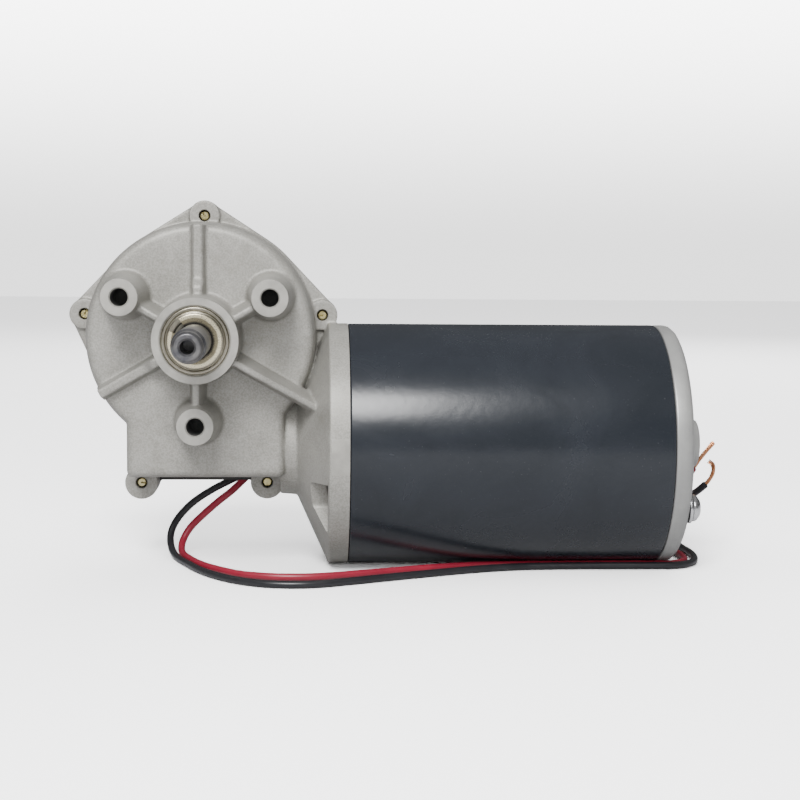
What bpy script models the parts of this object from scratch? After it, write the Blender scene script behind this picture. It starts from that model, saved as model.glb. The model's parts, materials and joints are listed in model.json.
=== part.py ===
"""Geared DC motor: a worm gearbox on a 76 mm permanent magnet motor.

Frame: origin under the middle of the body, +Z up, the motor axis along X with
its rear cap at +X, and the output shaft pointing to -Y.
Inside this file lengths are millimetres from the point where the motor axis
meets the flange face. `world` turns them into metres in the part's frame.
"""

import math

import bmesh
import bpy
from mathutils import Vector

# ---------------------------------------------------------------- dimensions
MM = 0.001
SHIFT = Vector((-12.3, 15.5, 38.0))

CAN_RADIUS = 38.0
CAN_WALL = 2.4
CAN_LENGTH = 98.0
CAP_END = 104.0
HUB_END = 112.4

MODULE = 1.25
WHEEL_TEETH = 44
WHEEL_PITCH_RADIUS = MODULE * WHEEL_TEETH / 2.0
WORM_PITCH_RADIUS = 6.7
WORM_LEAD = math.pi * MODULE
WHEEL_WIDTH = 10.0

OUT_X = -45.8
OUT_Z = WHEEL_PITCH_RADIUS + WORM_PITCH_RADIUS
SHAFT_TIP = -69.0
SHAFT_RADIUS = 5.0

FRONT_FACE = -18.0
COLLAR_FACE = -36.0
BOSS_FACE = -37.0
SEAM = 10.0
CHAMBER_RADIUS = 31.5
DOME_RADIUS = 35.6
BOSS_CIRCLE = 25.4
BOSS_ANGLES = (30.0, 150.0, 270.0)
MOUNT_HOLE_RADIUS = 2.6
DOME_X = OUT_X + 0.4
EARS = ((0.6, 37.5), (37.9, 6.3), (20.4, -47.4), (-19.6, -47.5), (-37.2, 6.3))
EAR_RADII = (4.8, 4.8, 5.3, 5.3, 4.8)
EAR_FACE = 3.2
EAR_HOLE_RADIUS = 1.8
COVER_BOTTOM = -13.3

BOLT_RADIUS_AT = 31.2
BOLT_ANGLE = math.radians(33.0)

LEAD_RADIUS = 1.15

SMOOTH = math.radians(32.0)


# ---------------------------------------------------------------- materials
def material(name, colour, roughness, metallic):
    made = bpy.data.materials.new(name)
    made.use_nodes = True
    shader = made.node_tree.nodes["Principled BSDF"]
    shader.inputs["Base Color"].default_value = (*colour, 1.0)
    shader.inputs["Roughness"].default_value = roughness
    shader.inputs["Metallic"].default_value = metallic
    return made


# ---------------------------------------------------------------- helpers
def world(point):
    return (Vector(point) + SHIFT) * MM


def polar(radius, degrees):
    angle = math.radians(degrees)
    return (radius * math.cos(angle), radius * math.sin(angle))


def output_point(u, v):
    """Across and up from the output axis."""
    return (OUT_X + u, OUT_Z + v)


def finish(obj):
    mesh = obj.data
    mesh.shade_smooth()
    mesh.set_sharp_from_angle(angle=SMOOTH)
    return obj


def solid(name, points, faces, pivot=(0.0, 0.0, 0.0)):
    """A closed mesh object from points in millimetres, with its origin at pivot."""
    base = world(pivot)
    mesh = bpy.data.meshes.new(name)
    mesh.from_pydata([world(p) - base for p in points], [], faces)
    bm = bmesh.new()
    bm.from_mesh(mesh)
    bmesh.ops.recalc_face_normals(bm, faces=bm.faces)
    bm.to_mesh(mesh)
    bm.free()
    obj = bpy.data.objects.new(name, mesh)
    obj.location = base
    bpy.context.collection.objects.link(obj)
    return finish(obj)


def on_axis(axis, along, a, b):
    """A point from its place along an axis and the two across it."""
    if axis == "X":
        return (along, a, b)
    if axis == "Y":
        return (a, along, b)
    return (a, b, along)


def lathe(name, profile, axis="X", centre=(0.0, 0.0), steps=32, pivot=(0.0, 0.0, 0.0)):
    """Turns a profile of (along, radius) about an axis through centre."""
    points = []
    rings = []
    for along, radius in profile:
        start = len(points)
        if radius < 1e-6:
            points.append(on_axis(axis, along, centre[0], centre[1]))
            rings.append([start] * steps)
            continue
        for step in range(steps):
            u, v = polar(radius, 360.0 * step / steps)
            points.append(on_axis(axis, along, centre[0] + u, centre[1] + v))
        rings.append(list(range(start, start + steps)))
    closed = profile[0][1] > 1e-6
    count = len(rings) if closed else len(rings) - 1
    faces = []
    for index in range(count):
        low = rings[index]
        high = rings[(index + 1) % len(rings)]
        for step in range(steps):
            after = (step + 1) % steps
            corners = [low[step], low[after], high[after], high[step]]
            loop = []
            for corner in corners:
                if corner not in loop:
                    loop.append(corner)
            if len(loop) > 2:
                faces.append(loop)
    return solid(name, points, faces, pivot)


def rod(name, start, end, radius, axis="X", centre=(0.0, 0.0), steps=24, pivot=(0.0, 0.0, 0.0)):
    profile = [(start, 0.0), (start, radius), (end, radius), (end, 0.0)]
    return lathe(name, profile, axis, centre, steps, pivot)


def tube(name, start, end, inner, outer, axis="X", centre=(0.0, 0.0), steps=28,
         pivot=(0.0, 0.0, 0.0)):
    profile = [(start, inner), (start, outer), (end, outer), (end, inner)]
    return lathe(name, profile, axis, centre, steps, pivot)


def loft(name, sections, pivot=(0.0, 0.0, 0.0)):
    """Joins closed outlines of equal count, given as points, with flat ends."""
    points = []
    for section in sections:
        points.extend(section)
    count = len(sections[0])
    faces = [list(range(count)), list(range(len(points) - count, len(points)))]
    for index in range(len(sections) - 1):
        low = index * count
        high = low + count
        for corner in range(count):
            after = (corner + 1) % count
            faces.append([low + corner, low + after, high + after, high + corner])
    return solid(name, points, faces, pivot)


def prism(name, outline, axis, start, end, pivot=(0.0, 0.0, 0.0)):
    sections = []
    for along in (start, end):
        sections.append([on_axis(axis, along, u, v) for u, v in outline])
    return loft(name, sections, pivot)


def box(name, low, high, pivot=(0.0, 0.0, 0.0)):
    outline = [(low[0], low[1]), (high[0], low[1]), (high[0], high[1]), (low[0], high[1])]
    return prism(name, outline, "Z", low[2], high[2], pivot)


def boolean(base, others, operation):
    """Adds or cuts the other solids, and removes them afterwards."""
    for other in others:
        modifier = base.modifiers.new(operation.lower(), "BOOLEAN")
        modifier.operation = operation
        modifier.solver = "EXACT"
        modifier.object = other
        graph = bpy.context.evaluated_depsgraph_get()
        mesh = bpy.data.meshes.new_from_object(base.evaluated_get(graph))
        base.modifiers.clear()
        base.data = mesh
        bpy.data.objects.remove(other, do_unlink=True)
        bm = bmesh.new()
        bm.from_mesh(mesh)
        bmesh.ops.remove_doubles(bm, verts=bm.verts, dist=2e-6)
        bmesh.ops.dissolve_degenerate(bm, edges=bm.edges, dist=1e-6)
        bmesh.ops.dissolve_limit(bm, angle_limit=math.radians(0.4), verts=bm.verts,
                                 edges=bm.edges)
        bm.to_mesh(mesh)
        bm.free()
    return finish(base)


def join(base, others):
    return boolean(base, others, "UNION")


def cut(base, others):
    return boolean(base, others, "DIFFERENCE")


def paint(look, *objects):
    for obj in objects:
        obj.data.materials.clear()
        obj.data.materials.append(look)


def hull(points):
    """The convex outline round a set of flat points."""
    ordered = sorted(set(points))

    def half(sequence):
        chain = []
        for point in sequence:
            while len(chain) > 1:
                ax, ay = chain[-2]
                bx, by = chain[-1]
                if (bx - ax) * (point[1] - ay) - (by - ay) * (point[0] - ax) > 1e-6:
                    break
                chain.pop()
            chain.append(point)
        return chain[:-1]

    return half(ordered) + half(reversed(ordered))


def circle(centre, radius, steps):
    points = []
    for step in range(steps):
        u, v = polar(radius, 360.0 * step / steps)
        points.append((round(centre[0] + u, 4), round(centre[1] + v, 4)))
    return points


def smooth_route(knots, spacing):
    """Evenly spaced points on a smooth curve through the knots."""
    knots = [Vector(knot) for knot in knots]
    padded = [2 * knots[0] - knots[1]] + knots + [2 * knots[-1] - knots[-2]]
    fine = []
    for index in range(1, len(padded) - 2):
        p0, p1, p2, p3 = padded[index - 1:index + 3]
        for step in range(40):
            t = step / 40.0
            point = (2 * p1 + (p2 - p0) * t + (2 * p0 - 5 * p1 + 4 * p2 - p3) * t * t
                     + (3 * p1 - p0 - 3 * p2 + p3) * t ** 3) * 0.5
            fine.append(point)
    fine.append(knots[-1])
    lengths = [0.0]
    for before, after in zip(fine, fine[1:]):
        lengths.append(lengths[-1] + (after - before).length)
    count = max(2, round(lengths[-1] / spacing))
    route = []
    place = 0
    for step in range(count + 1):
        goal = lengths[-1] * step / count
        while place < len(fine) - 2 and lengths[place + 1] < goal:
            place += 1
        span = lengths[place + 1] - lengths[place]
        route.append(fine[place].lerp(fine[place + 1], min(1.0, (goal - lengths[place]) / span)))
    return route


def wire(name, knots, radius, spacing, look, resolution=2):
    """A round wire as a bevelled curve along a smooth route."""
    curve = bpy.data.curves.new(name, "CURVE")
    curve.dimensions = "3D"
    curve.bevel_depth = radius * MM
    curve.bevel_resolution = resolution
    curve.resolution_u = 1
    curve.render_resolution_u = 0
    curve.use_fill_caps = True
    spline = curve.splines.new("POLY")
    route = smooth_route(knots, spacing)
    spline.points.add(len(route) - 1)
    for point, place in zip(spline.points, route):
        point.co = (*world(place), 1.0)
    obj = bpy.data.objects.new(name, curve)
    bpy.context.collection.objects.link(obj)
    curve.materials.append(look)
    return obj


def ball_ring(name, along, width, circle_radius, ball_radius, count, axis, centre, pivot):
    """Balls held in a ribbon cage, as one ring that swells at each ball."""
    steps = count * 2
    sides = 6
    points = []
    for step in range(steps):
        phase = 2.0 * math.pi * step / steps
        swell = max(0.0, math.cos(phase * count)) ** 0.6
        reach = 0.45 + (ball_radius - 0.45) * swell
        for side in range(sides):
            turn = 2.0 * math.pi * side / sides
            radius = circle_radius + reach * math.cos(turn)
            offset = min(width / 2.0, max(reach, 0.8)) * math.sin(turn)
            u = centre[0] + radius * math.cos(phase)
            v = centre[1] + radius * math.sin(phase)
            points.append(on_axis(axis, along + offset, u, v))
    faces = []
    for step in range(steps):
        after = (step + 1) % steps
        for side in range(sides):
            beside = (side + 1) % sides
            faces.append([step * sides + side, step * sides + beside,
                          after * sides + beside, after * sides + side])
    return solid(name, points, faces, pivot)


def bearing(prefix, start, end, bore, outer, axis, centre, count, looks, pivot):
    """A deep groove ball bearing: outer ring, inner ring, and its balls in a cage."""
    steel, dark = looks
    height = outer - bore
    race_in = bore + height * 0.28
    race_out = outer - height * 0.24
    middle = (start + end) / 2.0
    outer_ring = tube(prefix + "_outer_ring", start, end, race_out, outer - 0.05, axis, centre, 24)
    inner_ring = tube(prefix + "_inner_ring", start, end, bore + 0.2, race_in, axis, centre, 16,
                      pivot)
    ball_radius = (race_out - race_in) / 2.0 - 0.2
    balls = ball_ring(prefix + "_ball_set", middle, end - start - 1.0,
                      (race_in + race_out) / 2.0, ball_radius, count, axis, centre, pivot)
    paint(steel, outer_ring, inner_ring)
    paint(dark, balls)
    return outer_ring, inner_ring, balls


# ---------------------------------------------------------------- gearbox
def rounded_corner(points, corner, steps, radius, start):
    for step in range(steps + 1):
        u, v = polar(radius, start + 90.0 * step / steps)
        points.append((corner[0] + u, corner[1] + v))


def tower_outline(inset):
    """The block round the worm, wider than the neck and below the dome."""
    left = -68.1 + inset
    right = -19.6 - inset
    low = -9.0 + inset
    high = OUT_Z
    radius = 2.0
    points = []
    rounded_corner(points, (right - radius, high - radius), 1, radius, 0.0)
    rounded_corner(points, (left + radius, high - radius), 1, radius, 90.0)
    rounded_corner(points, (left + radius, low + radius), 2, radius, 180.0)
    rounded_corner(points, (right - radius, low + radius), 2, radius, 270.0)
    return points


def rim_outline():
    points = circle((DOME_X, OUT_Z), 36.2, 40)
    for ear in (0, 1, 4):
        points.extend(circle(output_point(*EARS[ear]), EAR_RADII[ear] - 0.2, 12))
    return hull(points)


def web(name, angle, start, end, half_width, heights):
    """A straight rib on the front face, thick at its foot, from start to end radius."""
    radial = Vector(polar(1.0, angle))
    across = Vector((-radial.y, radial.x))
    sections = []
    for radius, height in zip((start, end), heights):
        section = []
        for side, depth in ((-2.5, FRONT_FACE + 3.0), (2.5, FRONT_FACE + 3.0),
                            (half_width, height), (-half_width, height)):
            flat = radial * radius + across * side
            x, z = output_point(flat.x, flat.y)
            section.append((x, depth, z))
        sections.append(section)
    return loft(name, sections)


def wide_rib(name, angle, start, end):
    radial = Vector(polar(1.0, angle))
    across = Vector((-radial.y, radial.x))
    outline = ((-2.6, FRONT_FACE + 3.0), (2.6, FRONT_FACE + 3.0), (2.3, FRONT_FACE - 0.6),
               (1.2, FRONT_FACE - 2.2), (-1.2, FRONT_FACE - 2.2), (-2.3, FRONT_FACE - 0.6))
    sections = []
    for radius in (start, end):
        section = []
        for side, depth in outline:
            flat = radial * radius + across * side
            x, z = output_point(flat.x, flat.y)
            section.append((x, depth, z))
        sections.append(section)
    return loft(name, sections)


def gearbox_housing():
    centre = (OUT_X, OUT_Z)
    dome = lathe("gearbox_housing", [
        (FRONT_FACE, 0.0), (FRONT_FACE, 31.4), (-17.4, 33.2), (-16.0, 34.5), (-13.5, 35.2),
        (SEAM + 1.0, DOME_RADIUS), (SEAM + 1.0, 0.0)], "Y", (DOME_X, OUT_Z), 40)
    tower = loft("tower", [
        [on_axis("Y", FRONT_FACE + 0.06, u, v) for u, v in tower_outline(1.6)],
        [on_axis("Y", -17.2, u, v) for u, v in tower_outline(0.6)],
        [on_axis("Y", -15.8, u, v) for u, v in tower_outline(0.0)],
        [on_axis("Y", SEAM + 1.4, u, v) for u, v in tower_outline(0.0)]])
    tunnel = rod("tunnel", -67.8, -20.0, 10.2, "X", (0.0, 0.0), 20)
    rim = prism("rim", rim_outline(), "Y", 4.6, SEAM + 1.8)
    ears = []
    for place, radius in zip(EARS, EAR_RADII):
        ears.append(rod("ear", EAR_FACE, SEAM + 2.2, radius, "Y", output_point(*place), 14))
    bell = lathe("bell", [
        (-21.0, 9.5), (-21.0, 16.0), (-15.8, 16.4), (-6.3, 37.3), (-6.0, 38.0),
        (0.0, 38.0), (0.0, 35.2), (3.0, 35.2), (3.0, 32.4), (-3.4, 32.4), (-9.2, 20.4),
        (-9.2, 16.8), (-4.8, 16.8), (-4.8, 13.1), (-13.2, 13.1), (-13.2, 9.5)], "X",
        (0.0, 0.0), 32)
    collar = lathe("collar", [
        (-14.0, 0.0), (-14.0, 14.6), (-18.2, 14.5), (-19.2, 13.4), (-35.4, 12.8),
        (COLLAR_FACE, 12.4), (COLLAR_FACE, 0.0)], "Y", centre, 24)
    bosses = []
    for angle in BOSS_ANGLES:
        place = output_point(*polar(BOSS_CIRCLE, angle))
        bosses.append(lathe("boss", [
            (-15.0, 0.0), (-15.0, 8.6), (-18.2, 8.5), (-19.2, 7.6), (-36.4, 5.7),
            (BOSS_FACE, 5.3), (BOSS_FACE, 0.0)], "Y", place, 14))
    ribs = [wide_rib("rib_up", 90.0, 11.0, 33.6), wide_rib("rib_side", 210.0, 11.0, 33.6)]
    for angle in BOSS_ANGLES:
        ribs.append(web("web", angle, 11.0, BOSS_CIRCLE - 3.5, 0.9, (-33.0, -32.0)))
    ribs.append(web("long_web", 330.0, 11.0, 43.0, 0.9, (-33.5, -25.5)))
    pad = rod("grommet_pad", -17.0, -8.8, 6.2, "X", (21.0, -8.0), 18)
    join(dome, [tower, tunnel, rim] + ears)
    cut(dome, [box("beyond_seam", (-100.0, SEAM, -30.0), (5.0, SEAM + 5.0, 90.0))])
    join(dome, [bell, collar, pad] + bosses + ribs)

    cutters = [
        rod("chamber", -14.2, SEAM + 1.0, CHAMBER_RADIUS, "Y", centre, 28),
        rod("worm_bore", -61.6, -12.8, 8.6, "X", (0.0, 0.0), 16),
        rod("bush_bore", -66.6, -61.0, 6.15, "X", (0.0, 0.0), 14),
        rod("collar_mouth", COLLAR_FACE - 1.0, -34.0, 10.3, "Y", centre, 24),
        rod("bearing_seat", -35.2, -13.0, 11.1, "Y", centre, 24)]
    for place in EARS:
        cutters.append(rod("ear_hole", 2.0, SEAM + 1.0, EAR_HOLE_RADIUS, "Y",
                           output_point(*place), 10))
    for angle in BOSS_ANGLES:
        place = output_point(*polar(BOSS_CIRCLE, angle))
        cutters.append(rod("mount_hole", BOSS_FACE - 1.0, -22.0, MOUNT_HOLE_RADIUS, "Y", place,
                           10))
    for turn in (0.0, math.pi):
        y = BOLT_RADIUS_AT * math.cos(BOLT_ANGLE + turn)
        z = BOLT_RADIUS_AT * math.sin(BOLT_ANGLE + turn)
        cutters.append(rod("bolt_hole", -20.0, 5.0, 2.7, "X", (y, z), 12))
        cutters.append(prism("bolt_pocket", pocket_outline(turn), "X", -22.0, -6.4))
    cutters.append(rod("grommet_hole", -18.0, -6.5, 3.95, "X", (21.0, -8.0), 14))
    return cut(dome, cutters)


def pocket_outline(turn):
    """A rounded triangular recess in the bell, in front of a through bolt's end."""
    side = -math.cos(turn)
    corners = []
    for y, z in ((-25.2, -11.2), (-35.6, -10.8), (-28.4, -22.2), (-23.6, -16.4)):
        corners.extend(circle((-side * y, -side * z), 2.1, 8))
    return hull(corners)


def back_plate(name, start, end):
    """A plate with the outline of the housing's back face."""
    plate = prism(name, rim_outline(), "Y", start - 1.0, end + 1.0)
    tower = prism("tower", tower_outline(0.0), "Y", start - 1.5, end + 1.5)
    foot = box("foot", (OUT_X + EARS[3][0], start - 1.8, COVER_BOTTOM),
               (OUT_X + EARS[2][0], end + 1.8, 0.0))
    ears = []
    for place, radius in zip(EARS, EAR_RADII):
        ears.append(rod("ear", start - 2.0, end + 2.0, radius, "Y", output_point(*place), 14))
    join(plate, [tower, foot] + ears)
    clear_of_bell = lathe("clear_of_bell", [
        (-22.0, 0.0), (-22.0, 16.7), (-16.2, 17.2), (-6.2, 38.0), (-6.2, 38.6), (5.0, 38.6),
        (5.0, 0.0)], "X", (0.0, 0.0), 36)
    return cut(plate, [box("front", (-100.0, start - 5.0, -30.0), (5.0, start, 90.0)),
                       box("back", (-100.0, end, -30.0), (5.0, end + 5.0, 90.0)),
                       clear_of_bell])


def gearbox_cover():
    centre = (OUT_X, OUT_Z)
    plate = back_plate("gearbox_cover", SEAM + 0.9, SEAM + 4.2)
    hub = lathe("hub", [
        (SEAM + 2.0, 0.0), (SEAM + 2.0, 17.0), (SEAM + 4.6, 16.4), (SEAM + 5.6, 14.2),
        (SEAM + 9.0, 13.6), (SEAM + 9.6, 13.0), (SEAM + 9.6, 0.0)], "Y", centre, 24)
    join(plate, [hub])
    cutters = [rod("seat", SEAM - 1.0, SEAM + 7.4, 11.1, "Y", centre, 24),
               rod("relief", SEAM + 7.0, SEAM + 8.4, 7.0, "Y", centre, 12)]
    for place in EARS:
        cutters.append(rod("hole", SEAM, SEAM + 5.0, EAR_HOLE_RADIUS, "Y", output_point(*place), 10))
    return cut(plate, cutters)


def cover_gasket():
    centre = (OUT_X, OUT_Z)
    plate = back_plate("cover_gasket", SEAM + 0.2, SEAM + 0.7)
    cutters = [rod("window", SEAM - 1.0, SEAM + 2.0, CHAMBER_RADIUS + 0.5, "Y", centre, 28)]
    for place in EARS:
        cutters.append(rod("hole", SEAM - 1.0, SEAM + 2.0, 1.9, "Y", output_point(*place), 10))
    return cut(plate, cutters)


def cover_screw(name, place):
    """An M3 pan head screw, its tip just below the ear's front face."""
    head = SEAM + 4.35
    return lathe(name, [
        (4.2, 0.0), (4.2, 1.1), (4.7, 1.5), (head, 1.5), (head, 3.3), (head + 1.4, 3.1),
        (head + 2.2, 2.2), (head + 2.2, 0.0)], "Y", output_point(*place), 10)


# ---------------------------------------------------------------- motor shell
def motor_can():
    return lathe("motor_can", [
        (0.25, CAN_RADIUS), (CAN_LENGTH - 0.25, CAN_RADIUS),
        (CAN_LENGTH - 0.25, CAN_RADIUS - CAN_WALL), (0.25, CAN_RADIUS - CAN_WALL)], "X",
        (0.0, 0.0), 48)


def magnet(name, middle_angle):
    outline = []
    half = 62.0
    steps = 12
    inner, outer = 27.6, CAN_RADIUS - CAN_WALL - 0.3
    for step in range(steps + 1):
        outline.append(polar(outer, middle_angle - half + 2.0 * half * step / steps))
    for step in range(steps + 1):
        outline.append(polar(inner, middle_angle + half - 2.0 * half * step / steps))
    return prism(name, outline, "X", 14.0, 76.0)


def rear_cap():
    """The cap as an open cup: outer skin, spigot, bearing hub and bolt holes."""
    outer = lathe("rear_cap", [
        (93.4, 0.0), (93.4, 35.2), (98.0, 35.2), (98.0, CAN_RADIUS), (101.6, CAN_RADIUS),
        (103.2, 36.9), (CAP_END, 34.6), (CAP_END, 9.0), (HUB_END - 0.6, 7.5),
        (HUB_END, 6.9), (HUB_END, 0.0)], "X", (0.0, 0.0), 32)
    hollow = tube("hollow", 90.0, 99.0, 14.6, 32.2, "X", (0.0, 0.0), 20)
    seat = rod("seat", 90.0, 101.0, 11.1, "X", (0.0, 0.0), 24)
    nose = rod("nose", 100.0, 105.2, 5.0, "X", (0.0, 0.0), 14)
    cutters = [hollow, seat, nose]
    posts = []
    for turn in (0.0, math.pi):
        y = BOLT_RADIUS_AT * math.cos(BOLT_ANGLE + turn)
        z = BOLT_RADIUS_AT * math.sin(BOLT_ANGLE + turn)
        cutters.append(rod("bolt_hole", 90.0, 106.0, 2.75, "X", (y, z), 12))
    cut(outer, [hollow, seat, nose])
    for turn in (0.5, 1.5):
        y = 24.0 * math.cos(BOLT_ANGLE + turn * math.pi)
        z = 24.0 * math.sin(BOLT_ANGLE + turn * math.pi)
        posts.append(rod("post", 92.6, 99.6, 4.0, "X", (y, z), 12))
    join(outer, posts)
    return cut(outer, cutters[3:])


def through_bolt(name, turn):
    """An M5 bolt from the cap into the bell's flange, with a low pan head at the back."""
    y = BOLT_RADIUS_AT * math.cos(BOLT_ANGLE + turn)
    z = BOLT_RADIUS_AT * math.sin(BOLT_ANGLE + turn)
    return lathe(name, [
        (-6.0, 0.0), (-6.0, 1.9), (-5.5, 2.4), (CAP_END + 1.3, 2.4), (CAP_END + 1.3, 4.2),
        (CAP_END + 2.8, 4.0), (CAP_END + 3.9, 2.6), (CAP_END + 3.9, 0.0)], "X", (y, z), 14)


def bolt_washer(name, turn):
    y = BOLT_RADIUS_AT * math.cos(BOLT_ANGLE + turn)
    z = BOLT_RADIUS_AT * math.sin(BOLT_ANGLE + turn)
    return tube(name, CAP_END + 0.2, CAP_END + 1.1, 2.75, 4.7, "X", (y, z), 16)


# ---------------------------------------------------------------- rotating sets
def worm_shaft():
    """The armature shaft with its single-start worm cut in one piece."""
    shaft = lathe("armature_shaft", [
        (-66.0, 0.0), (-66.0, 3.4), (-65.4, 3.9), (-61.0, 3.9), (-60.4, 5.15), (-27.0, 5.15),
        (-26.0, 6.6), (-14.4, 6.6), (-13.6, 4.9), (-4.4, 4.9), (-3.6, 6.6), (78.0, 6.6),
        (91.4, 6.6), (92.4, 3.9), (103.6, 3.9), (103.6, 0.0)], "X", (0.0, 0.0), 14)
    first = OUT_X - 3.25 * WORM_LEAD
    last = OUT_X + 3.25 * WORM_LEAD
    steps = 12
    count = round((last - first) / WORM_LEAD * steps)
    root, tip = 4.6, WORM_PITCH_RADIUS + MODULE
    foot, crest = 0.375 * WORM_LEAD, 0.125 * WORM_LEAD
    sections = []
    for step in range(count + 1):
        middle = first + WORM_LEAD * step / steps
        section = []
        for offset, radius in ((-foot, root), (-crest, tip), (crest, tip), (foot, root)):
            u, v = polar(radius, 360.0 * step / steps)
            section.append((middle + offset, u, v))
        sections.append(section)
    thread = loft("thread", sections)
    return join(shaft, [thread])


def core():
    """Lamination stack with twelve winding slots."""
    outline = []
    slots = 12
    for slot in range(slots):
        middle = 360.0 * slot / slots
        for radius, turn in ((26.5, -13.0), (26.5, -2.6), (25.0, -2.6), (23.6, -7.0),
                             (14.6, -7.0), (14.6, 7.0), (23.6, 7.0), (25.0, 2.6),
                             (26.5, 2.6), (26.5, 13.0)):
            outline.append(polar(radius, middle + turn))
    stack = prism("lamination_core", outline, "X", 16.0, 70.0)
    return cut(stack, [rod("bore", 10.0, 80.0, 6.8, "X", (0.0, 0.0), 14)])


def windings():
    """Coil sides in the slots, joined by the end turns at both ends."""
    body = lathe("windings", [
        (7.6, 10.4), (8.4, 20.0), (11.0, 23.6), (15.6, 23.2), (15.6, 10.4)], "X",
        (0.0, 0.0), 18)
    rear = lathe("rear_turns", [
        (70.4, 10.4), (70.4, 23.2), (74.0, 23.4), (77.4, 19.0), (78.0, 10.4)], "X",
        (0.0, 0.0), 18)
    sides = []
    for slot in range(12):
        middle = 360.0 * slot / 12
        outline = [polar(23.0, middle - 6.2), polar(15.2, middle - 5.6),
                   polar(15.2, middle + 5.6), polar(23.0, middle + 6.2)]
        sides.append(prism("side", outline, "X", 14.0, 72.0))
    return join(body, sides + [rear])


def commutator():
    """Copper bars on an insulating sleeve, with a groove between bars."""
    outline = []
    bars = 12
    for bar in range(bars):
        middle = 360.0 * bar / bars
        outline.append(polar(11.6, middle - 13.6))
        outline.append(polar(11.6, middle + 13.6))
        outline.append(polar(11.0, middle + 13.8))
        outline.append(polar(11.0, middle + 16.2))
    body = prism("commutator", outline, "X", 80.0, 91.0)
    return cut(body, [rod("bore", 79.0, 92.0, 6.8, "X", (0.0, 0.0), 14)])


def wheel_outline(shift):
    """Forty-four teeth, each a root, flank, tip and flank."""
    outline = []
    root = WHEEL_PITCH_RADIUS - 1.2 * MODULE
    tip = WHEEL_PITCH_RADIUS + 0.9 * MODULE
    pitch = 360.0 / WHEEL_TEETH
    for tooth in range(WHEEL_TEETH):
        middle = pitch * (tooth + 0.5) - 90.0 + shift
        for radius, part in ((root, -0.36), (tip, -0.12), (tip, 0.12), (root, 0.36)):
            outline.append(polar(radius, middle + pitch * part))
    return outline


def worm_wheel(pivot):
    lean = math.atan(WORM_LEAD / (2.0 * math.pi * WORM_PITCH_RADIUS))
    twist = math.degrees(WHEEL_WIDTH / 2.0 * math.tan(lean) / WHEEL_PITCH_RADIUS)
    sections = []
    for along, turn in ((-WHEEL_WIDTH / 2.0, twist), (WHEEL_WIDTH / 2.0, -twist)):
        section = []
        for u, v in wheel_outline(turn):
            section.append((OUT_X + u, along, OUT_Z + v))
        sections.append(section)
    rim = loft("worm_wheel", sections, pivot)
    return cut(rim, [rod("bore", -20.0, 20.0, 15.25, "Y", (OUT_X, OUT_Z), 20)])


def wheel_hub(pivot):
    centre = (OUT_X, OUT_Z)
    hub = lathe("wheel_hub", [
        (-8.0, 6.2), (-8.0, 12.0), (-6.8, 12.0), (-6.8, 17.4), (-5.3, 17.4), (-5.3, 14.9),
        (5.3, 14.9), (5.3, 17.4), (6.8, 17.4), (6.8, 6.2)], "Y", centre, 20, pivot)
    return cut(hub, [box("keyway", (OUT_X - 2.15, -12.0, OUT_Z + 3.0),
                         (OUT_X + 2.15, 12.0, OUT_Z + 8.6))])


def output_shaft(pivot):
    centre = (OUT_X, OUT_Z)
    shaft = lathe("output_shaft", [
        (SHAFT_TIP, 0.0), (SHAFT_TIP, 3.9), (SHAFT_TIP + 1.0, 4.3), (SHAFT_TIP + 5.0, 4.3),
        (SHAFT_TIP + 6.0, SHAFT_RADIUS), (-28.2, SHAFT_RADIUS), (-28.2, 7.2), (-9.4, 7.2),
        (-9.4, 6.0), (9.9, 6.0), (9.9, SHAFT_RADIUS), (SEAM + 7.2, SHAFT_RADIUS),
        (SEAM + 7.6, 4.4), (SEAM + 7.6, 0.0)], "Y", centre, 20, pivot)
    slot = loft("slot", [
        [slot_point(y, along, side) for along, side in
         ((3.4, -1.5), (8.0, -1.5), (8.0, 1.5), (3.4, 1.5))] for y in (-61.0, -40.5)])
    cutters = [
        rod("centre_hole", SHAFT_TIP - 1.0, SHAFT_TIP + 14.0, 2.0, "Y", centre, 14),
        slot,
        box("key_seat", (OUT_X - 2.15, -6.15, OUT_Z + 4.0), (OUT_X + 2.15, 6.15, OUT_Z + 9.0)),
        tube("ring_groove", 7.2, 8.4, 5.5, 8.0, "Y", centre, 20),
        tube("circlip_groove", -37.0, -35.8, 4.4, 8.0, "Y", centre, 20)]
    return cut(shaft, cutters)


def slot_point(y, along, side):
    """A point on the shaft's slot, which faces up and to the left of the tip."""
    direction = Vector(polar(1.0, 135.0))
    across = Vector((-direction.y, direction.x))
    flat = direction * along + across * side
    return (OUT_X + flat.x, y, OUT_Z + flat.y)


def open_ring(name, inner, outer, start, end, opening, gap, pivot):
    """A snap ring in a groove of the output shaft, open at one side."""
    outline = []
    steps = 16
    first = opening + gap / 2.0
    sweep = 360.0 - gap
    for step in range(steps + 1):
        outline.append(polar(outer, first + sweep * step / steps))
    for step in range(steps + 1):
        outline.append(polar(inner, first + sweep - sweep * step / steps))
    shifted = [(OUT_X + u, OUT_Z + v) for u, v in outline]
    return prism(name, shifted, "Y", start, end, pivot)


# ---------------------------------------------------------------- brush gear
def brush_plate():
    return tube("brush_plate", 91.0, 92.3, 17.0, 28.4, "X", (0.0, 0.0), 32)


def brush_holder(name, side):
    """A square brass tube that guides the brush towards the commutator."""
    holder = box(name, (81.4, 14.0, -4.4), (90.7, 26.0, 4.4))
    cut(holder, [box("slot", (82.2, 12.0, -3.6), (89.8, 25.2, 3.6))])
    if side < 0:
        mirror(holder)
    return holder


def mirror(obj):
    """Turns a piece half a turn about the motor axis."""
    for vertex in obj.data.vertices:
        place = (vertex.co + obj.location) / MM - SHIFT
        vertex.co = world((place.x, -place.y, -place.z)) - obj.location


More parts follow.
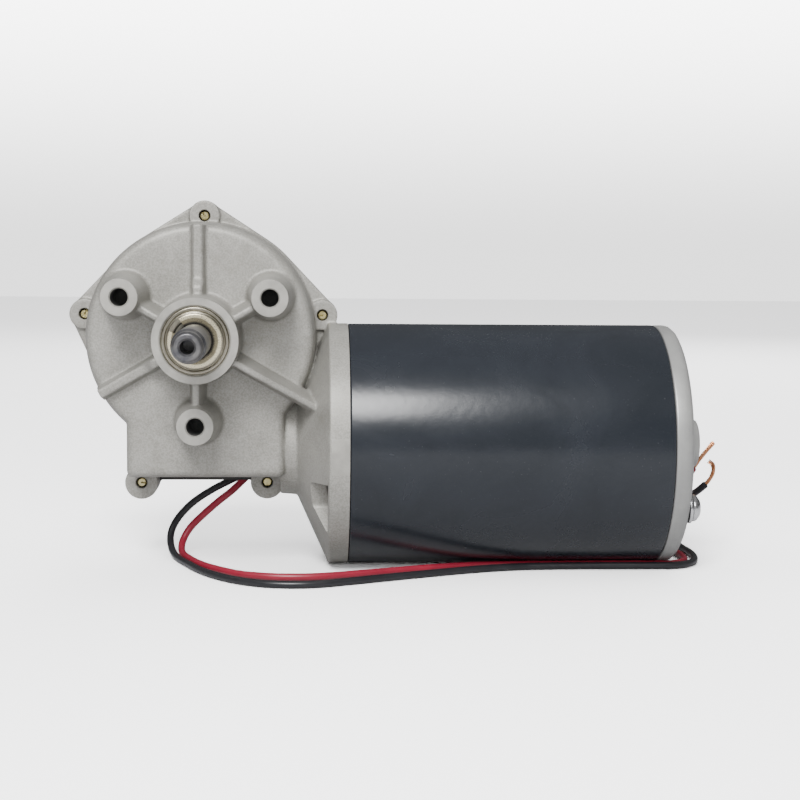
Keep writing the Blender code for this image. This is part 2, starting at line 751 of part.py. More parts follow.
def brush(name, side):
    block = box(name, (82.5, 12.0, -3.3), (89.5, 20.0, 3.3))
    if side < 0:
        mirror(block)
    return block


def brush_spring(name, side, look):
    """A coil spring between the brush and the holder's closed end."""
    knots = []
    turns = 3
    for step in range(turns * 8 + 1):
        angle = 2.0 * math.pi * step / 8.0
        y = 20.7 + 3.8 * step / (turns * 8)
        knots.append((86.0 + 2.4 * math.cos(angle), side * y, side * 2.4 * math.sin(angle)))
    return wire(name, knots, 0.32, 1.9, look, 0)


# ---------------------------------------------------------------- leads
def lead_route(side):
    """One lead's route outside, from the grommet to the bare end past the rear cap."""
    if side == "black":
        return (
            (-18.4, 22.6, -8.0), (-26.0, 21.6, -9.4), (-32.0, 19.4, -12.0),
            (-38.0, 17.4, -14.6), (-44.0, 16.2, -17.6), (-50.0, 15.6, -21.6),
            (-54.6, 15.0, -26.4), (-56.9, 13.4, -31.0), (-56.6, 9.6, -35.0),
            (-54.2, 1.0, -36.8), (-50.0, -10.5, -36.8), (-44.0, -24.0, -36.8),
            (-35.5, -35.6, -36.8), (-26.5, -42.2, -36.8), (-17.0, -44.4, -36.8),
            (-9.0, -43.4, -36.8), (0.0, -39.6, -36.8), (13.0, -33.4, -36.8),
            (27.0, -27.0, -36.8), (41.0, -21.2, -36.8), (55.0, -17.6, -36.8),
            (70.0, -16.6, -36.8), (85.0, -16.5, -36.8), (97.0, -16.6, -36.8),
            (104.4, -15.9, -36.8), (110.0, -10.6, -36.8), (112.6, -1.6, -36.8),
            (113.0, 7.6, -36.8), (112.4, 16.4, -36.8), (110.8, 24.0, -35.2),
            (110.0, 28.6, -30.8), (110.8, 28.2, -25.2), (112.8, 22.2, -21.2),
            (114.8, 13.4, -18.8), (115.6, 7.6, -16.6), (117.2, 4.6, -14.2))
    return (
        (-18.4, 19.4, -8.0), (-26.0, 18.9, -9.6), (-31.6, 16.8, -12.6),
        (-37.0, 14.6, -17.4), (-41.6, 14.0, -21.0), (-46.4, 13.6, -25.2),
        (-50.6, 13.0, -29.4), (-53.0, 11.2, -33.6), (-52.8, 6.4, -36.4),
        (-49.8, -2.6, -36.8), (-45.2, -13.0, -36.8), (-39.6, -21.0, -36.8),
        (-33.4, -27.6, -36.8), (-26.0, -31.4, -36.8), (-18.0, -33.0, -36.8),
        (-10.0, -32.4, -36.8), (-1.0, -29.6, -36.8), (13.0, -24.0, -36.8),
        (26.0, -19.0, -36.8), (39.0, -15.4, -36.8), (55.0, -14.0, -36.8),
        (70.0, -13.9, -36.8), (85.0, -13.9, -36.8), (97.0, -13.9, -36.8),
        (103.4, -13.1, -36.8), (107.6, -8.6, -36.8), (108.9, -1.4, -36.8),
        (108.6, 6.4, -36.8), (108.0, 13.0, -36.0), (107.6, 18.0, -32.8),
        (107.8, 19.8, -27.6), (108.8, 17.8, -22.2), (110.4, 13.4, -17.0),
        (112.0, 8.8, -12.6), (113.4, 5.6, -9.0))


def strand_route(side):
    if side == "black":
        return ((117.5, 4.2, -13.7), (118.6, 3.4, -11.9), (119.4, 3.0, -9.6),
                (119.2, 3.0, -7.4), (117.8, 3.4, -6.2))
    return ((113.7, 5.2, -8.4), (115.0, 4.8, -6.2), (116.6, 4.6, -4.0), (118.4, 4.6, -1.8),
            (119.8, 4.8, -0.2))


def inner_route(side):
    """Leads inside: from the grommet past the magnets to the brush holders."""
    if side == "red":
        return ((-5.6, 19.4, -8.0), (-2.4, 20.4, -7.9), (3.0, 26.2, -3.0), (8.0, 30.4, 3.0),
                (14.0, 31.2, 4.6), (45.0, 31.2, 4.6), (76.0, 31.2, 4.6), (81.0, 30.6, 3.6),
                (84.4, 29.4, 1.2), (86.0, 27.4, 0.0))
    knots = [(-5.6, 22.6, -8.0), (-3.0, 24.2, -6.2), (3.0, 29.0, 3.4), (8.0, 30.4, 8.2),
             (14.0, 30.4, 9.0), (45.0, 30.4, 9.0), (74.0, 30.4, 9.0), (80.5, 28.0, 9.8)]
    for degrees, radius in ((33.0, 26.4), (50.0, 27.0), (70.0, 28.0), (90.0, 28.6), (112.0, 28.6),
                            (134.0, 28.6), (156.0, 28.6), (171.0, 28.2)):
        y, z = polar(radius, degrees)
        knots.append((86.0, y, z))
    knots.append((86.0, -27.7, 0.4))
    return tuple(knots)


def grommet():
    body = lathe("lead_grommet", [
        (-18.1, 0.0), (-18.1, 4.8), (-17.3, 5.4), (-17.3, 3.6), (-6.2, 3.6), (-6.2, 0.0)], "X",
        (21.0, -8.0), 16)
    holes = []
    for offset in (-1.6, 1.6):
        holes.append(rod("hole", -20.0, -4.0, 1.3, "X", (21.0 + offset, -8.0), 8))
    return cut(body, holes)


# ---------------------------------------------------------------- assembly
def build():
    for obj in list(bpy.data.objects):
        bpy.data.objects.remove(obj, do_unlink=True)

    aluminium = material("cast_aluminium", (0.49, 0.475, 0.425), 0.5, 0.75)
    machined = material("machined_aluminium", (0.56, 0.56, 0.54), 0.36, 0.85)
    enamel = material("black_enamel", (0.018, 0.021, 0.027), 0.22, 0.1)
    zinc = material("yellow_zinc", (0.66, 0.56, 0.24), 0.35, 0.9)
    plated = material("plated_steel", (0.66, 0.66, 0.67), 0.3, 0.95)
    bearing_steel = material("bearing_steel", (0.56, 0.54, 0.48), 0.25, 1.0)
    ball_steel = material("ball_steel", (0.62, 0.62, 0.62), 0.15, 1.0)
    shaft_steel = material("shaft_steel", (0.16, 0.17, 0.20), 0.35, 0.95)
    paper = material("gasket_paper", (0.05, 0.05, 0.05), 0.8, 0.0)
    nylon = material("nylon", (0.82, 0.79, 0.68), 0.45, 0.0)
    ferrite = material("ferrite", (0.06, 0.06, 0.065), 0.6, 0.1)
    lamination = material("lamination_steel", (0.22, 0.22, 0.23), 0.5, 0.8)
    enamelled_copper = material("enamelled_copper", (0.55, 0.2, 0.08), 0.4, 0.6)
    copper = material("copper", (0.78, 0.38, 0.2), 0.3, 1.0)
    brass = material("brass", (0.75, 0.58, 0.26), 0.35, 1.0)
    bronze = material("bronze", (0.5, 0.32, 0.14), 0.45, 0.9)
    carbon = material("carbon", (0.03, 0.03, 0.03), 0.7, 0.1)
    spring_steel = material("spring_steel", (0.5, 0.5, 0.5), 0.3, 1.0)
    phenolic = material("phenolic", (0.22, 0.1, 0.05), 0.6, 0.0)
    rubber = material("rubber", (0.02, 0.02, 0.02), 0.8, 0.0)
    red_pvc = material("red_pvc", (0.35, 0.018, 0.03), 0.35, 0.0)
    black_pvc = material("black_pvc", (0.02, 0.02, 0.023), 0.35, 0.0)

    out_pivot = (OUT_X, 0.0, OUT_Z)
    centre = (OUT_X, OUT_Z)

    paint(aluminium, gearbox_housing(), gearbox_cover())
    paint(paper, cover_gasket())
    for number, place in enumerate(EARS, 1):
        paint(zinc, cover_screw(f"cover_screw_{number}", place))

    bearing("front_output_bearing", -34.9, -28.8, SHAFT_RADIUS, 11.0, "Y", centre, 9,
            (bearing_steel, ball_steel), out_pivot)
    shield = tube("front_bearing_shield", -35.7, -35.2, 6.6, 10.0, "Y", centre, 28)
    paint(bearing_steel, shield)
    bearing("rear_output_bearing", SEAM + 1.0, SEAM + 7.0, SHAFT_RADIUS, 11.0, "Y", centre, 9,
            (bearing_steel, ball_steel), out_pivot)

    paint(enamel, motor_can())
    magnet_middle = math.degrees(BOLT_ANGLE) + 90.0
    paint(ferrite, magnet("magnet_upper", magnet_middle))
    paint(ferrite, magnet("magnet_lower", magnet_middle + 180.0))
    paint(machined, rear_cap())
    for number, turn in enumerate((0.0, math.pi), 1):
        paint(plated, through_bolt(f"through_bolt_{number}", turn))
        paint(plated, bolt_washer(f"bolt_washer_{number}", turn))

    bearing("front_motor_bearing", -12.9, -5.0, 5.0, 13.0, "X", (0.0, 0.0), 8,
            (bearing_steel, ball_steel), (0.0, 0.0, 0.0))
    bearing("rear_motor_bearing", 93.6, 100.6, 4.0, 11.0, "X", (0.0, 0.0), 8,
            (bearing_steel, ball_steel), (0.0, 0.0, 0.0))
    paint(bronze, tube("worm_tip_bush", -66.3, -61.9, 4.15, 6.0, "X", (0.0, 0.0), 14))

    paint(shaft_steel, worm_shaft(), output_shaft(out_pivot))
    paint(lamination, core())
    paint(enamelled_copper, windings())
    paint(copper, commutator())
    paint(nylon, worm_wheel(out_pivot))
    paint(bearing_steel, wheel_hub(out_pivot))
    paint(spring_steel, open_ring("retaining_ring", 5.7, 8.2, 7.4, 8.2, -90.0, 60.0, out_pivot))
    paint(bearing_steel, open_ring("shaft_circlip", 4.7, 8.0, -36.8, -36.0, 142.0, 34.0,
                                   out_pivot))
    paint(spring_steel, box("shaft_key", (OUT_X - 1.95, -5.9, OUT_Z + 4.3),
                            (OUT_X + 1.95, 5.9, OUT_Z + 8.2), out_pivot))

    paint(phenolic, brush_plate())
    for number, side in enumerate((1, -1), 1):
        paint(brass, brush_holder(f"brush_holder_{number}", side))
        paint(carbon, brush(f"carbon_brush_{number}", side))
        brush_spring(f"brush_spring_{number}", side, spring_steel)

    paint(rubber, grommet())
    wire("red_inner_lead", inner_route("red"), LEAD_RADIUS, 7.5, red_pvc, 1)
    wire("black_inner_lead", inner_route("black"), LEAD_RADIUS, 7.5, black_pvc, 1)
    wire("red_lead", lead_route("red"), LEAD_RADIUS, 6.0, red_pvc)
    wire("black_lead", lead_route("black"), LEAD_RADIUS, 6.0, black_pvc)
    wire("red_lead_strands", strand_route("red"), 0.7, 2.2, copper, 1)
    wire("black_lead_strands", strand_route("black"), 0.7, 2.0, copper, 1)


build()
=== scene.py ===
import json
import math

import bmesh
import bpy
from mathutils import Matrix, Vector

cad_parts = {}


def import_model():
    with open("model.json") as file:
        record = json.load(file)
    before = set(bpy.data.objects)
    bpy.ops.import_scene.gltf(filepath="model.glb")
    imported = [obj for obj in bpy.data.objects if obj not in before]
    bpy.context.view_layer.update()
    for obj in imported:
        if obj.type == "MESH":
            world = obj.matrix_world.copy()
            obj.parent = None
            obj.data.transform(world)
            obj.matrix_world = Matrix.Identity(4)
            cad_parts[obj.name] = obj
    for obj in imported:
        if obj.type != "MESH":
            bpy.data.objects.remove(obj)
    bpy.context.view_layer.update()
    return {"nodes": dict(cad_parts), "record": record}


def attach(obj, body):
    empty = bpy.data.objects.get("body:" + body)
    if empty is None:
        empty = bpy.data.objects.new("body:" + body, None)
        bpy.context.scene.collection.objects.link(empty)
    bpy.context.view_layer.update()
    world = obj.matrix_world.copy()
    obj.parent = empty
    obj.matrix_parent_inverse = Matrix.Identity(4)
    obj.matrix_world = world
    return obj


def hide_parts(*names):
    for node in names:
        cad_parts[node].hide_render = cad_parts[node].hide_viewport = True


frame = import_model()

# ---------------------------------------------------------------- dimensions, in mm
# Positions are from the point where the motor axis meets the flange face.
MM = 0.001
SHIFT = Vector((-12.3, 15.5, 38.0))
CAN_RADIUS, CAN_WALL, CAN_LENGTH, CAP_END, HUB_END = 38.0, 2.4, 98.0, 104.0, 112.4
OUT_X, OUT_Z = -45.8, 34.2
CENTRE, MOTOR = (OUT_X, OUT_Z), (0.0, 0.0)          # where the output and motor axes are
SHAFT_TIP, SHAFT_RADIUS = -69.0, 5.0
FRONT_FACE, COLLAR_FACE, BOSS_FACE, SEAM = -18.0, -36.0, -37.0, 10.0
CHAMBER_RADIUS, DOME_RADIUS, BOSS_CIRCLE = 31.5, 35.6, 25.4
BOSS_ANGLES = (30.0, 150.0, 270.0)
DOME_CENTRE = (OUT_X + 0.4, OUT_Z)
EARS = ((0.6, 37.5), (37.9, 6.3), (20.4, -47.4), (-19.6, -47.5), (-37.2, 6.3))
EAR_RADII = (4.8, 4.8, 5.3, 5.3, 4.8)
EAR_FACE, EAR_HOLE, COVER_BOTTOM = 3.2, 1.8, -13.3
BOLT_RADIUS_AT, BOLT_ANGLE = 31.2, math.radians(33.0)
GROMMET_AT = (21.0, -8.0)
LEAD_RADIUS = 1.15
COVER_BACK = SEAM + 4.2
BOLT_HOLE, BEARING_SEAT = 2.6, 11.06
RIB_ROOT = FRONT_FACE + 3.0          # ribs start below the front face they stand on
RIB_START, DOME_EDGE, LONG_WEB_END = 10.0, 34.4, 43.0        # distances from the output axis


# ---------------------------------------------------------------- materials
class Nodes:
    """A small helper round one material's node tree."""

    def __init__(self, name):
        self.material = bpy.data.materials.new(name)
        self.material.use_nodes = True
        self.tree = self.material.node_tree
        self.shader = self.tree.nodes["Principled BSDF"]
        self.place = self.add("ShaderNodeTexCoord").outputs["Object"]

    def add(self, kind, **settings):
        node = self.tree.nodes.new(kind)
        for key, value in settings.items():
            setattr(node, key, value)
        return node

    def link(self, source, target):
        self.tree.links.new(source, target)

    def noise(self, scale, detail=3.0, rough=0.55, stretch=None, distort=0.0):
        node = self.add("ShaderNodeTexNoise")
        node.inputs["Scale"].default_value = scale
        node.inputs["Detail"].default_value = detail
        node.inputs["Roughness"].default_value = rough
        node.inputs["Distortion"].default_value = distort
        source = self.place
        if stretch:
            mapping = self.add("ShaderNodeMapping")
            mapping.inputs["Scale"].default_value = stretch
            self.link(source, mapping.inputs["Vector"])
            source = mapping.outputs["Vector"]
        self.link(source, node.inputs["Vector"])
        return node.outputs["Fac"]

    def spread(self, value, low, high, to_low=0.0, to_high=1.0):
        node = self.add("ShaderNodeMapRange")
        node.inputs["From Min"].default_value = low
        node.inputs["From Max"].default_value = high
        node.inputs["To Min"].default_value = to_low
        node.inputs["To Max"].default_value = to_high
        self.link(value, node.inputs["Value"])
        return node.outputs["Result"]

    def blend(self, factor, first, second):
        node = self.add("ShaderNodeMix", data_type="RGBA")
        self.link(factor, node.inputs[0])
        for socket, colour in ((6, first), (7, second)):
            if isinstance(colour, tuple):
                node.inputs[socket].default_value = (*colour, 1.0)
            else:
                self.link(colour, node.inputs[socket])
        return node.outputs[2]

    def bump(self, value, strength, distance, under=None):
        node = self.add("ShaderNodeBump")
        node.inputs["Strength"].default_value = strength
        node.inputs["Distance"].default_value = distance
        self.link(value, node.inputs["Height"])
        if under:
            self.link(under, node.inputs["Normal"])
        return node.outputs["Normal"]

    def around(self, axis, centre):
        """The distance along an axis and the distance from it."""
        split = self.add("ShaderNodeSeparateXYZ")
        self.link(self.place, split.inputs[0])
        along = "XYZ".index(axis)
        reach = self.add("ShaderNodeCombineXYZ")
        for index, other in enumerate(i for i in range(3) if i != along):
            offset = self.add("ShaderNodeMath", operation="SUBTRACT")
            self.link(split.outputs[other], offset.inputs[0])
            offset.inputs[1].default_value = centre[index]
            self.link(offset.outputs[0], reach.inputs[index])
        radius = self.add("ShaderNodeVectorMath", operation="LENGTH")
        self.link(reach.outputs[0], radius.inputs[0])
        return split.outputs[along], radius.outputs["Value"]

    def use(self, name, value):
        socket = self.shader.inputs[name]
        if isinstance(value, (float, int)):
            socket.default_value = value
        elif isinstance(value, tuple):
            socket.default_value = (*value, 1.0)
        else:
            self.link(value, socket)


def grained(name, dark, light, rough, metal, patch=90.0, grain=2600.0, bump=0.25, depth=0.00012,
            specular=0.5, coat=0.0, stretch=None):
    """A finish with cloudy patches of two tones and a fine grained surface."""
    n = Nodes(name)
    cloud = n.spread(n.noise(patch, 5.0, 0.6), 0.35, 0.65)
    speck = n.noise(grain, 2.0, 0.6, stretch)
    n.use("Base Color", n.blend(cloud, dark, light))
    n.use("Roughness", n.spread(speck, 0.3, 0.7, rough * 0.88, min(1.0, rough * 1.12)))
    n.use("Metallic", metal)
    n.use("Specular IOR Level", specular)
    n.use("Normal", n.bump(speck, bump, depth))
    if coat:
        n.use("Coat Weight", coat)
        n.use("Coat Roughness", 0.12)
    return n.material


def cast_look():
    """Blasted die casting: warm grey, mottled, with a sparkle of fine grain and faint stains."""
    n = Nodes("cast_aluminium_look")
    cloud = n.spread(n.noise(70.0, 7.0, 0.65, distort=0.6), 0.32, 0.68)
    speck = n.noise(1900.0, 3.0, 0.7)
    stain = n.spread(n.noise(38.0, 8.0, 0.7, distort=1.2), 0.56, 0.74, 0.0, 0.55)
    base = n.blend(cloud, (0.222, 0.214, 0.193), (0.33, 0.32, 0.295))
    fine = n.blend(n.spread(speck, 0.40, 0.60), (0.150, 0.146, 0.132), (0.41, 0.41, 0.38))
    mixed = n.add("ShaderNodeMix", data_type="RGBA")
    mixed.inputs[0].default_value = 0.30
    n.link(base, mixed.inputs[6])
    n.link(fine, mixed.inputs[7])
    n.use("Base Color", n.blend(stain, mixed.outputs[2], (0.198, 0.188, 0.163)))
    n.use("Metallic", 0.4)
    n.use("Roughness", n.spread(speck, 0.3, 0.7, 0.44, 0.62))
    wide = n.bump(n.noise(260.0, 3.0, 0.5), 0.18, 0.0004)
    n.use("Normal", n.bump(speck, 0.34, 0.00013, wide))
    return n.material


def enamel_look():
    """Glossy black stove enamel with a faint orange peel and uneven sheen."""
    n = Nodes("black_enamel_look")
    cloud = n.noise(34.0, 5.0, 0.6, distort=0.8)
    dust = n.spread(n.noise(1500.0, 2.0, 0.5), 0.70, 0.78, 0.0, 0.35)
    base = n.blend(n.spread(cloud, 0.3, 0.7), (0.0101, 0.0122, 0.0158), (0.0154, 0.0179, 0.023))
    n.use("Base Color", n.blend(dust, base, (0.064, 0.066, 0.070)))
    n.use("Metallic", 0.0)
    n.use("Specular IOR Level", 0.43)
    n.use("Roughness", n.spread(cloud, 0.3, 0.7, 0.23, 0.29))
    peel = n.bump(n.noise(420.0, 2.0, 0.5), 0.10, 0.0003)
    n.use("Normal", n.bump(n.noise(60.0, 2.0, 0.4), 0.08, 0.001, peel))
    return n.material


def turned(name, dark, light, rough, metal, axis, centre, patch=150.0):
    """A turned surface: fine lines round the axis, on the sides and on the faces."""
    n = Nodes(name)
    along, radius = n.around(axis, centre)
    lines = n.add("ShaderNodeCombineXYZ")
    n.link(along, lines.inputs[0])
    n.link(radius, lines.inputs[1])
    ring = n.add("ShaderNodeTexNoise")
    ring.inputs["Scale"].default_value = 5200.0
    ring.inputs["Detail"].default_value = 2.0
    n.link(lines.outputs[0], ring.inputs["Vector"])
    cloud = n.spread(n.noise(patch, 5.0, 0.6), 0.35, 0.65)
    n.use("Base Color", n.blend(cloud, dark, light))
    n.use("Metallic", metal)
    n.use("Roughness", n.spread(ring.outputs["Fac"], 0.3, 0.7, rough * 0.8, rough * 1.2))
    n.use("Normal", n.bump(ring.outputs["Fac"], 0.22, 0.00006))
    return n.material


def snap_ring_look(centre):
    """Yellow spring steel, with painted shade darkening it towards the shaft."""
    n = Nodes("snap_ring_look")
    radius = n.around("Y", centre)[1]
    wavy = n.add("ShaderNodeMath", operation="MULTIPLY_ADD")
    n.link(n.noise(500.0, 3.0), wavy.inputs[0])
    wavy.inputs[1].default_value = 0.0005
    n.link(radius, wavy.inputs[2])
    # painted shade: the colour falls to near black close to the shaft
    inner = n.blend(n.spread(wavy.outputs[0], 0.0057, 0.0063), (0.039, 0.036, 0.031),
                    (0.245, 0.217, 0.146))
    n.use("Base Color", n.blend(n.spread(wavy.outputs[0], 0.0070, 0.0073), inner,
                                (0.74, 0.67, 0.48)))
    n.use("Metallic", 0.85)
    n.use("Roughness", n.spread(n.noise(2400.0), 0.3, 0.7, 0.24, 0.36))
    return n.material


MOTOR_AXIS = (SHIFT.y * MM, SHIFT.z * MM)
OUT_AXIS = ((OUT_X + SHIFT.x) * MM, (OUT_Z + SHIFT.z) * MM)

LOOKS = {
    "cast_aluminium": cast_look(),
    "machined_aluminium": turned("machined_aluminium_look", (0.250, 0.250, 0.245),
                                 (0.33, 0.33, 0.32), rough=0.44, metal=0.4, axis="X",
                                 centre=MOTOR_AXIS, patch=60.0),
    "black_enamel": enamel_look(),
    "plated_steel": grained("plated_steel_look", (0.60, 0.60, 0.61), (0.72, 0.72, 0.73),
                            rough=0.28, metal=1.0, patch=300.0, grain=3000.0, bump=0.1),
    "yellow_zinc": grained("yellow_zinc_look", (0.62, 0.53, 0.240), (0.72, 0.66, 0.38),
                           rough=0.32, metal=0.95, patch=400.0, grain=3000.0, bump=0.15),
    "bearing_steel": turned("bearing_steel_look", (0.300, 0.279, 0.220), (0.40, 0.37, 0.300),
                            rough=0.30, metal=1.0, axis="Y", centre=OUT_AXIS, patch=200.0),
    "ball_steel": grained("ball_steel_look", (0.60, 0.60, 0.60), (0.68, 0.68, 0.68),
                          rough=0.14, metal=1.0),
    "shaft_steel": turned("shaft_steel_look", (0.100, 0.101, 0.112), (0.209, 0.204, 0.200),
                          rough=0.36, metal=0.85, axis="Y", centre=OUT_AXIS, patch=260.0),
    "gasket_paper": grained("gasket_look", (0.030, 0.030, 0.030), (0.050, 0.048, 0.045),
                            rough=0.85, metal=0.0),
    "nylon": grained("nylon_look", (0.74, 0.71, 0.60), (0.80, 0.77, 0.66),
                     rough=0.42, metal=0.0, patch=60.0, grain=900.0, bump=0.06),
    "ferrite": grained("ferrite_look", (0.050, 0.050, 0.055), (0.075, 0.075, 0.080),
                       rough=0.6, metal=0.1),
    "lamination_steel": grained("lamination_look", (0.179, 0.179, 0.190), (0.259, 0.259, 0.270),
                                rough=0.45, metal=0.85, patch=90.0, grain=500.0, bump=0.5,
                                depth=0.0003, stretch=(12.0, 0.4, 0.4)),
    "enamelled_copper": grained("winding_look", (0.36, 0.109, 0.041), (0.52, 0.190, 0.070),
                                rough=0.32, metal=0.6, patch=80.0, grain=700.0, bump=0.8,
                                depth=0.0005, coat=0.5),
    "copper": grained("copper_look", (0.62, 0.270, 0.129), (0.80, 0.42, 0.240),
                      rough=0.28, metal=1.0, patch=500.0),
    "brass": grained("brass_look", (0.66, 0.50, 0.220), (0.74, 0.58, 0.279),
                     rough=0.32, metal=1.0, patch=200.0),
    "bronze": grained("bronze_look", (0.42, 0.270, 0.120), (0.50, 0.33, 0.159),
                      rough=0.5, metal=0.9, patch=300.0),
    "carbon": grained("carbon_look", (0.0200, 0.0200, 0.0200), (0.041, 0.041, 0.041),
                      rough=0.7, metal=0.2),
    "spring_steel": grained("spring_steel_look", (0.42, 0.42, 0.42), (0.52, 0.52, 0.52),
                            rough=0.28, metal=1.0),
    "phenolic": grained("phenolic_look", (0.159, 0.070, 0.030), (0.220, 0.100, 0.050),
                        rough=0.55, metal=0.0),
    "rubber": grained("rubber_look", (0.0140, 0.0140, 0.0140), (0.024, 0.024, 0.024),
                      rough=0.7, metal=0.0),
    "red_pvc": grained("red_lead_look", (0.190, 0.0100, 0.024), (0.240, 0.0140, 0.031),
                       rough=0.36, metal=0.0, patch=120.0, grain=1500.0, bump=0.05),
    "black_pvc": grained("black_lead_look", (0.0100, 0.0100, 0.0120), (0.0159, 0.0159, 0.0179),
                         rough=0.34, metal=0.0, patch=120.0, grain=1500.0, bump=0.05),
}
FACED = turned("faced_aluminium_look", (0.270, 0.262, 0.240), (0.37, 0.36, 0.33),
               rough=0.42, metal=0.4, axis="Y", centre=OUT_AXIS, patch=120.0)
CIRCLIP = snap_ring_look(OUT_AXIS)
SHADED = turned("inner_ring_look", (0.129, 0.125, 0.100), (0.190, 0.179, 0.150),
                rough=0.34, metal=0.9, axis="Y", centre=OUT_AXIS, patch=200.0)
# painted shade: a near-black copy of the casting for the walls of the deep mounting holes
BORE_PAINTED_SHADE = grained("bore_painted_shade_look", (0.050, 0.050, 0.050), (0.090, 0.090, 0.087),
               rough=0.5, metal=0.5, patch=300.0)


# ---------------------------------------------------------------- shapes
def world(point):
    return (Vector(point) + SHIFT) * MM


def polar(radius, degrees):
    angle = math.radians(degrees)
    return (radius * math.cos(angle), radius * math.sin(angle))


def output_point(u, v):
    return (OUT_X + u, OUT_Z + v)


def on_axis(axis, along, a, b):
    """The point at a distance along one axis, with the other two coordinates a and b."""
    if axis == "X":
        return (along, a, b)
    if axis == "Y":
        return (a, along, b)
    return (a, b, along)


def finish(obj, angle=34.0):
    obj.data.shade_smooth()
    obj.data.set_sharp_from_angle(angle=math.radians(angle))
    return obj


def solid(name, points, faces):
    mesh = bpy.data.meshes.new(name)
    mesh.from_pydata([world(p) for p in points], [], faces)
    bm = bmesh.new()
    bm.from_mesh(mesh)
    bmesh.ops.recalc_face_normals(bm, faces=bm.faces)
    bm.to_mesh(mesh)
    bm.free()
    obj = bpy.data.objects.new(name, mesh)
    bpy.context.scene.collection.objects.link(obj)
    return finish(obj)


def lathe(name, profile, axis="X", centre=MOTOR, steps=96):
    """Turns a profile of (along, radius) about an axis through centre."""
    points, rings, faces = [], [], []
    for along, radius in profile:
        start = len(points)
        if radius < 1e-6:
            points.append(on_axis(axis, along, centre[0], centre[1]))
            rings.append([start] * steps)
            continue
        for step in range(steps):
            u, v = polar(radius, 360.0 * step / steps)
            points.append(on_axis(axis, along, centre[0] + u, centre[1] + v))
        rings.append(list(range(start, start + steps)))
    count = len(rings) if profile[0][1] > 1e-6 else len(rings) - 1
    for index in range(count):
        low, high = rings[index], rings[(index + 1) % len(rings)]
        for step in range(steps):
            after = (step + 1) % steps
            loop = []
            for corner in (low[step], low[after], high[after], high[step]):
                if corner not in loop:
                    loop.append(corner)
            if len(loop) > 2:
                faces.append(loop)
    return solid(name, points, faces)


def rounded(profile, radius, steps=4):
    """Rounds the corners of a profile that starts and ends on the axis, or is a loop."""
    loop = profile[0][1] > 1e-6
    points = [Vector(p) for p in profile]
    result = []
    for index, point in enumerate(points):
        if not loop and index in (0, len(points) - 1):
            result.append(tuple(point))
            continue
        before = points[index - 1] - point
        after = points[(index + 1) % len(points)] - point
        reach = min(radius, before.length * 0.45, after.length * 0.45)
        start = point + before.normalized() * reach
        end = point + after.normalized() * reach
        for step in range(steps + 1):
            t = step / steps
            curve = start * (1 - t) ** 2 + point * 2 * t * (1 - t) + end * t ** 2
            result.append(tuple(curve))
    return result


def rod(name, start, end, radius, axis="X", centre=MOTOR, steps=64):
    return lathe(name, [(start, 0.0), (start, radius), (end, radius), (end, 0.0)], axis, centre,
                 steps)


def tube(name, start, end, inner, outer, axis="X", centre=MOTOR, steps=96):
    return lathe(name, [(start, inner), (start, outer), (end, outer), (end, inner)], axis,
                 centre, steps)


def loft(name, sections):
    """Joins closed sections of equally many points, with a cap at each end."""
    points = [point for section in sections for point in section]
    count = len(sections[0])
    faces = [list(range(count)), list(range(len(points) - count, len(points)))]
    for index in range(len(sections) - 1):
        low, high = index * count, (index + 1) * count
        for corner in range(count):
            after = (corner + 1) % count
            faces.append([low + corner, low + after, high + after, high + corner])
    return solid(name, points, faces)


def prism(name, outline, axis, start, end):
    return loft(name, [[on_axis(axis, along, u, v) for u, v in outline]
                       for along in (start, end)])


def box(name, low, high):
    outline = [(low[0], low[1]), (high[0], low[1]), (high[0], high[1]), (low[0], high[1])]
    return prism(name, outline, "Z", low[2], high[2])


def evaluated(obj):
    graph = bpy.context.evaluated_depsgraph_get()
    mesh = bpy.data.meshes.new_from_object(obj.evaluated_get(graph))
    obj.modifiers.clear()
    old = obj.data
    obj.data = mesh
    bpy.data.meshes.remove(old)


def boolean(base, others, operation, solver="MANIFOLD"):
    for other in others:
        modifier = base.modifiers.new("boolean", "BOOLEAN")
        modifier.operation = operation
        modifier.solver = solver
        modifier.object = other
        evaluated(base)
        bpy.data.objects.remove(other, do_unlink=True)
    return finish(base)


def cut(base, others, solver="MANIFOLD"):
    return boolean(base, others, "DIFFERENCE", solver)


def cast(parts, name, voxel, passes):
    """Melts overlapping solids into one casting with soft edges and filled corners."""
    bm = bmesh.new()
    for part in parts:
        bm.from_mesh(part.data)
        bpy.data.objects.remove(part, do_unlink=True)
    mesh = bpy.data.meshes.new(name)
    bm.to_mesh(mesh)
    bm.free()
    obj = bpy.data.objects.new(name, mesh)
    bpy.context.scene.collection.objects.link(obj)
    remesh = obj.modifiers.new("melt", "REMESH")
    remesh.mode = "VOXEL"
    remesh.voxel_size = voxel * MM
    smooth = obj.modifiers.new("soften", "SMOOTH")
    smooth.factor = 0.5
    smooth.iterations = passes
    evaluated(obj)
    return finish(obj)


def circle(centre, radius, steps):
    points = []
    for step in range(steps):
        u, v = polar(radius, 360.0 * step / steps)
        points.append((round(centre[0] + u, 4), round(centre[1] + v, 4)))
    return points


def hull(points):
    ordered = sorted(set(points))

    def half(sequence):
        chain = []
        for point in sequence:
            while len(chain) > 1:
                (ax, ay), (bx, by) = chain[-2], chain[-1]
                if (bx - ax) * (point[1] - ay) - (by - ay) * (point[0] - ax) > 1e-6:
                    break
                chain.pop()
            chain.append(point)
        return chain[:-1]

    return half(ordered) + half(reversed(ordered))


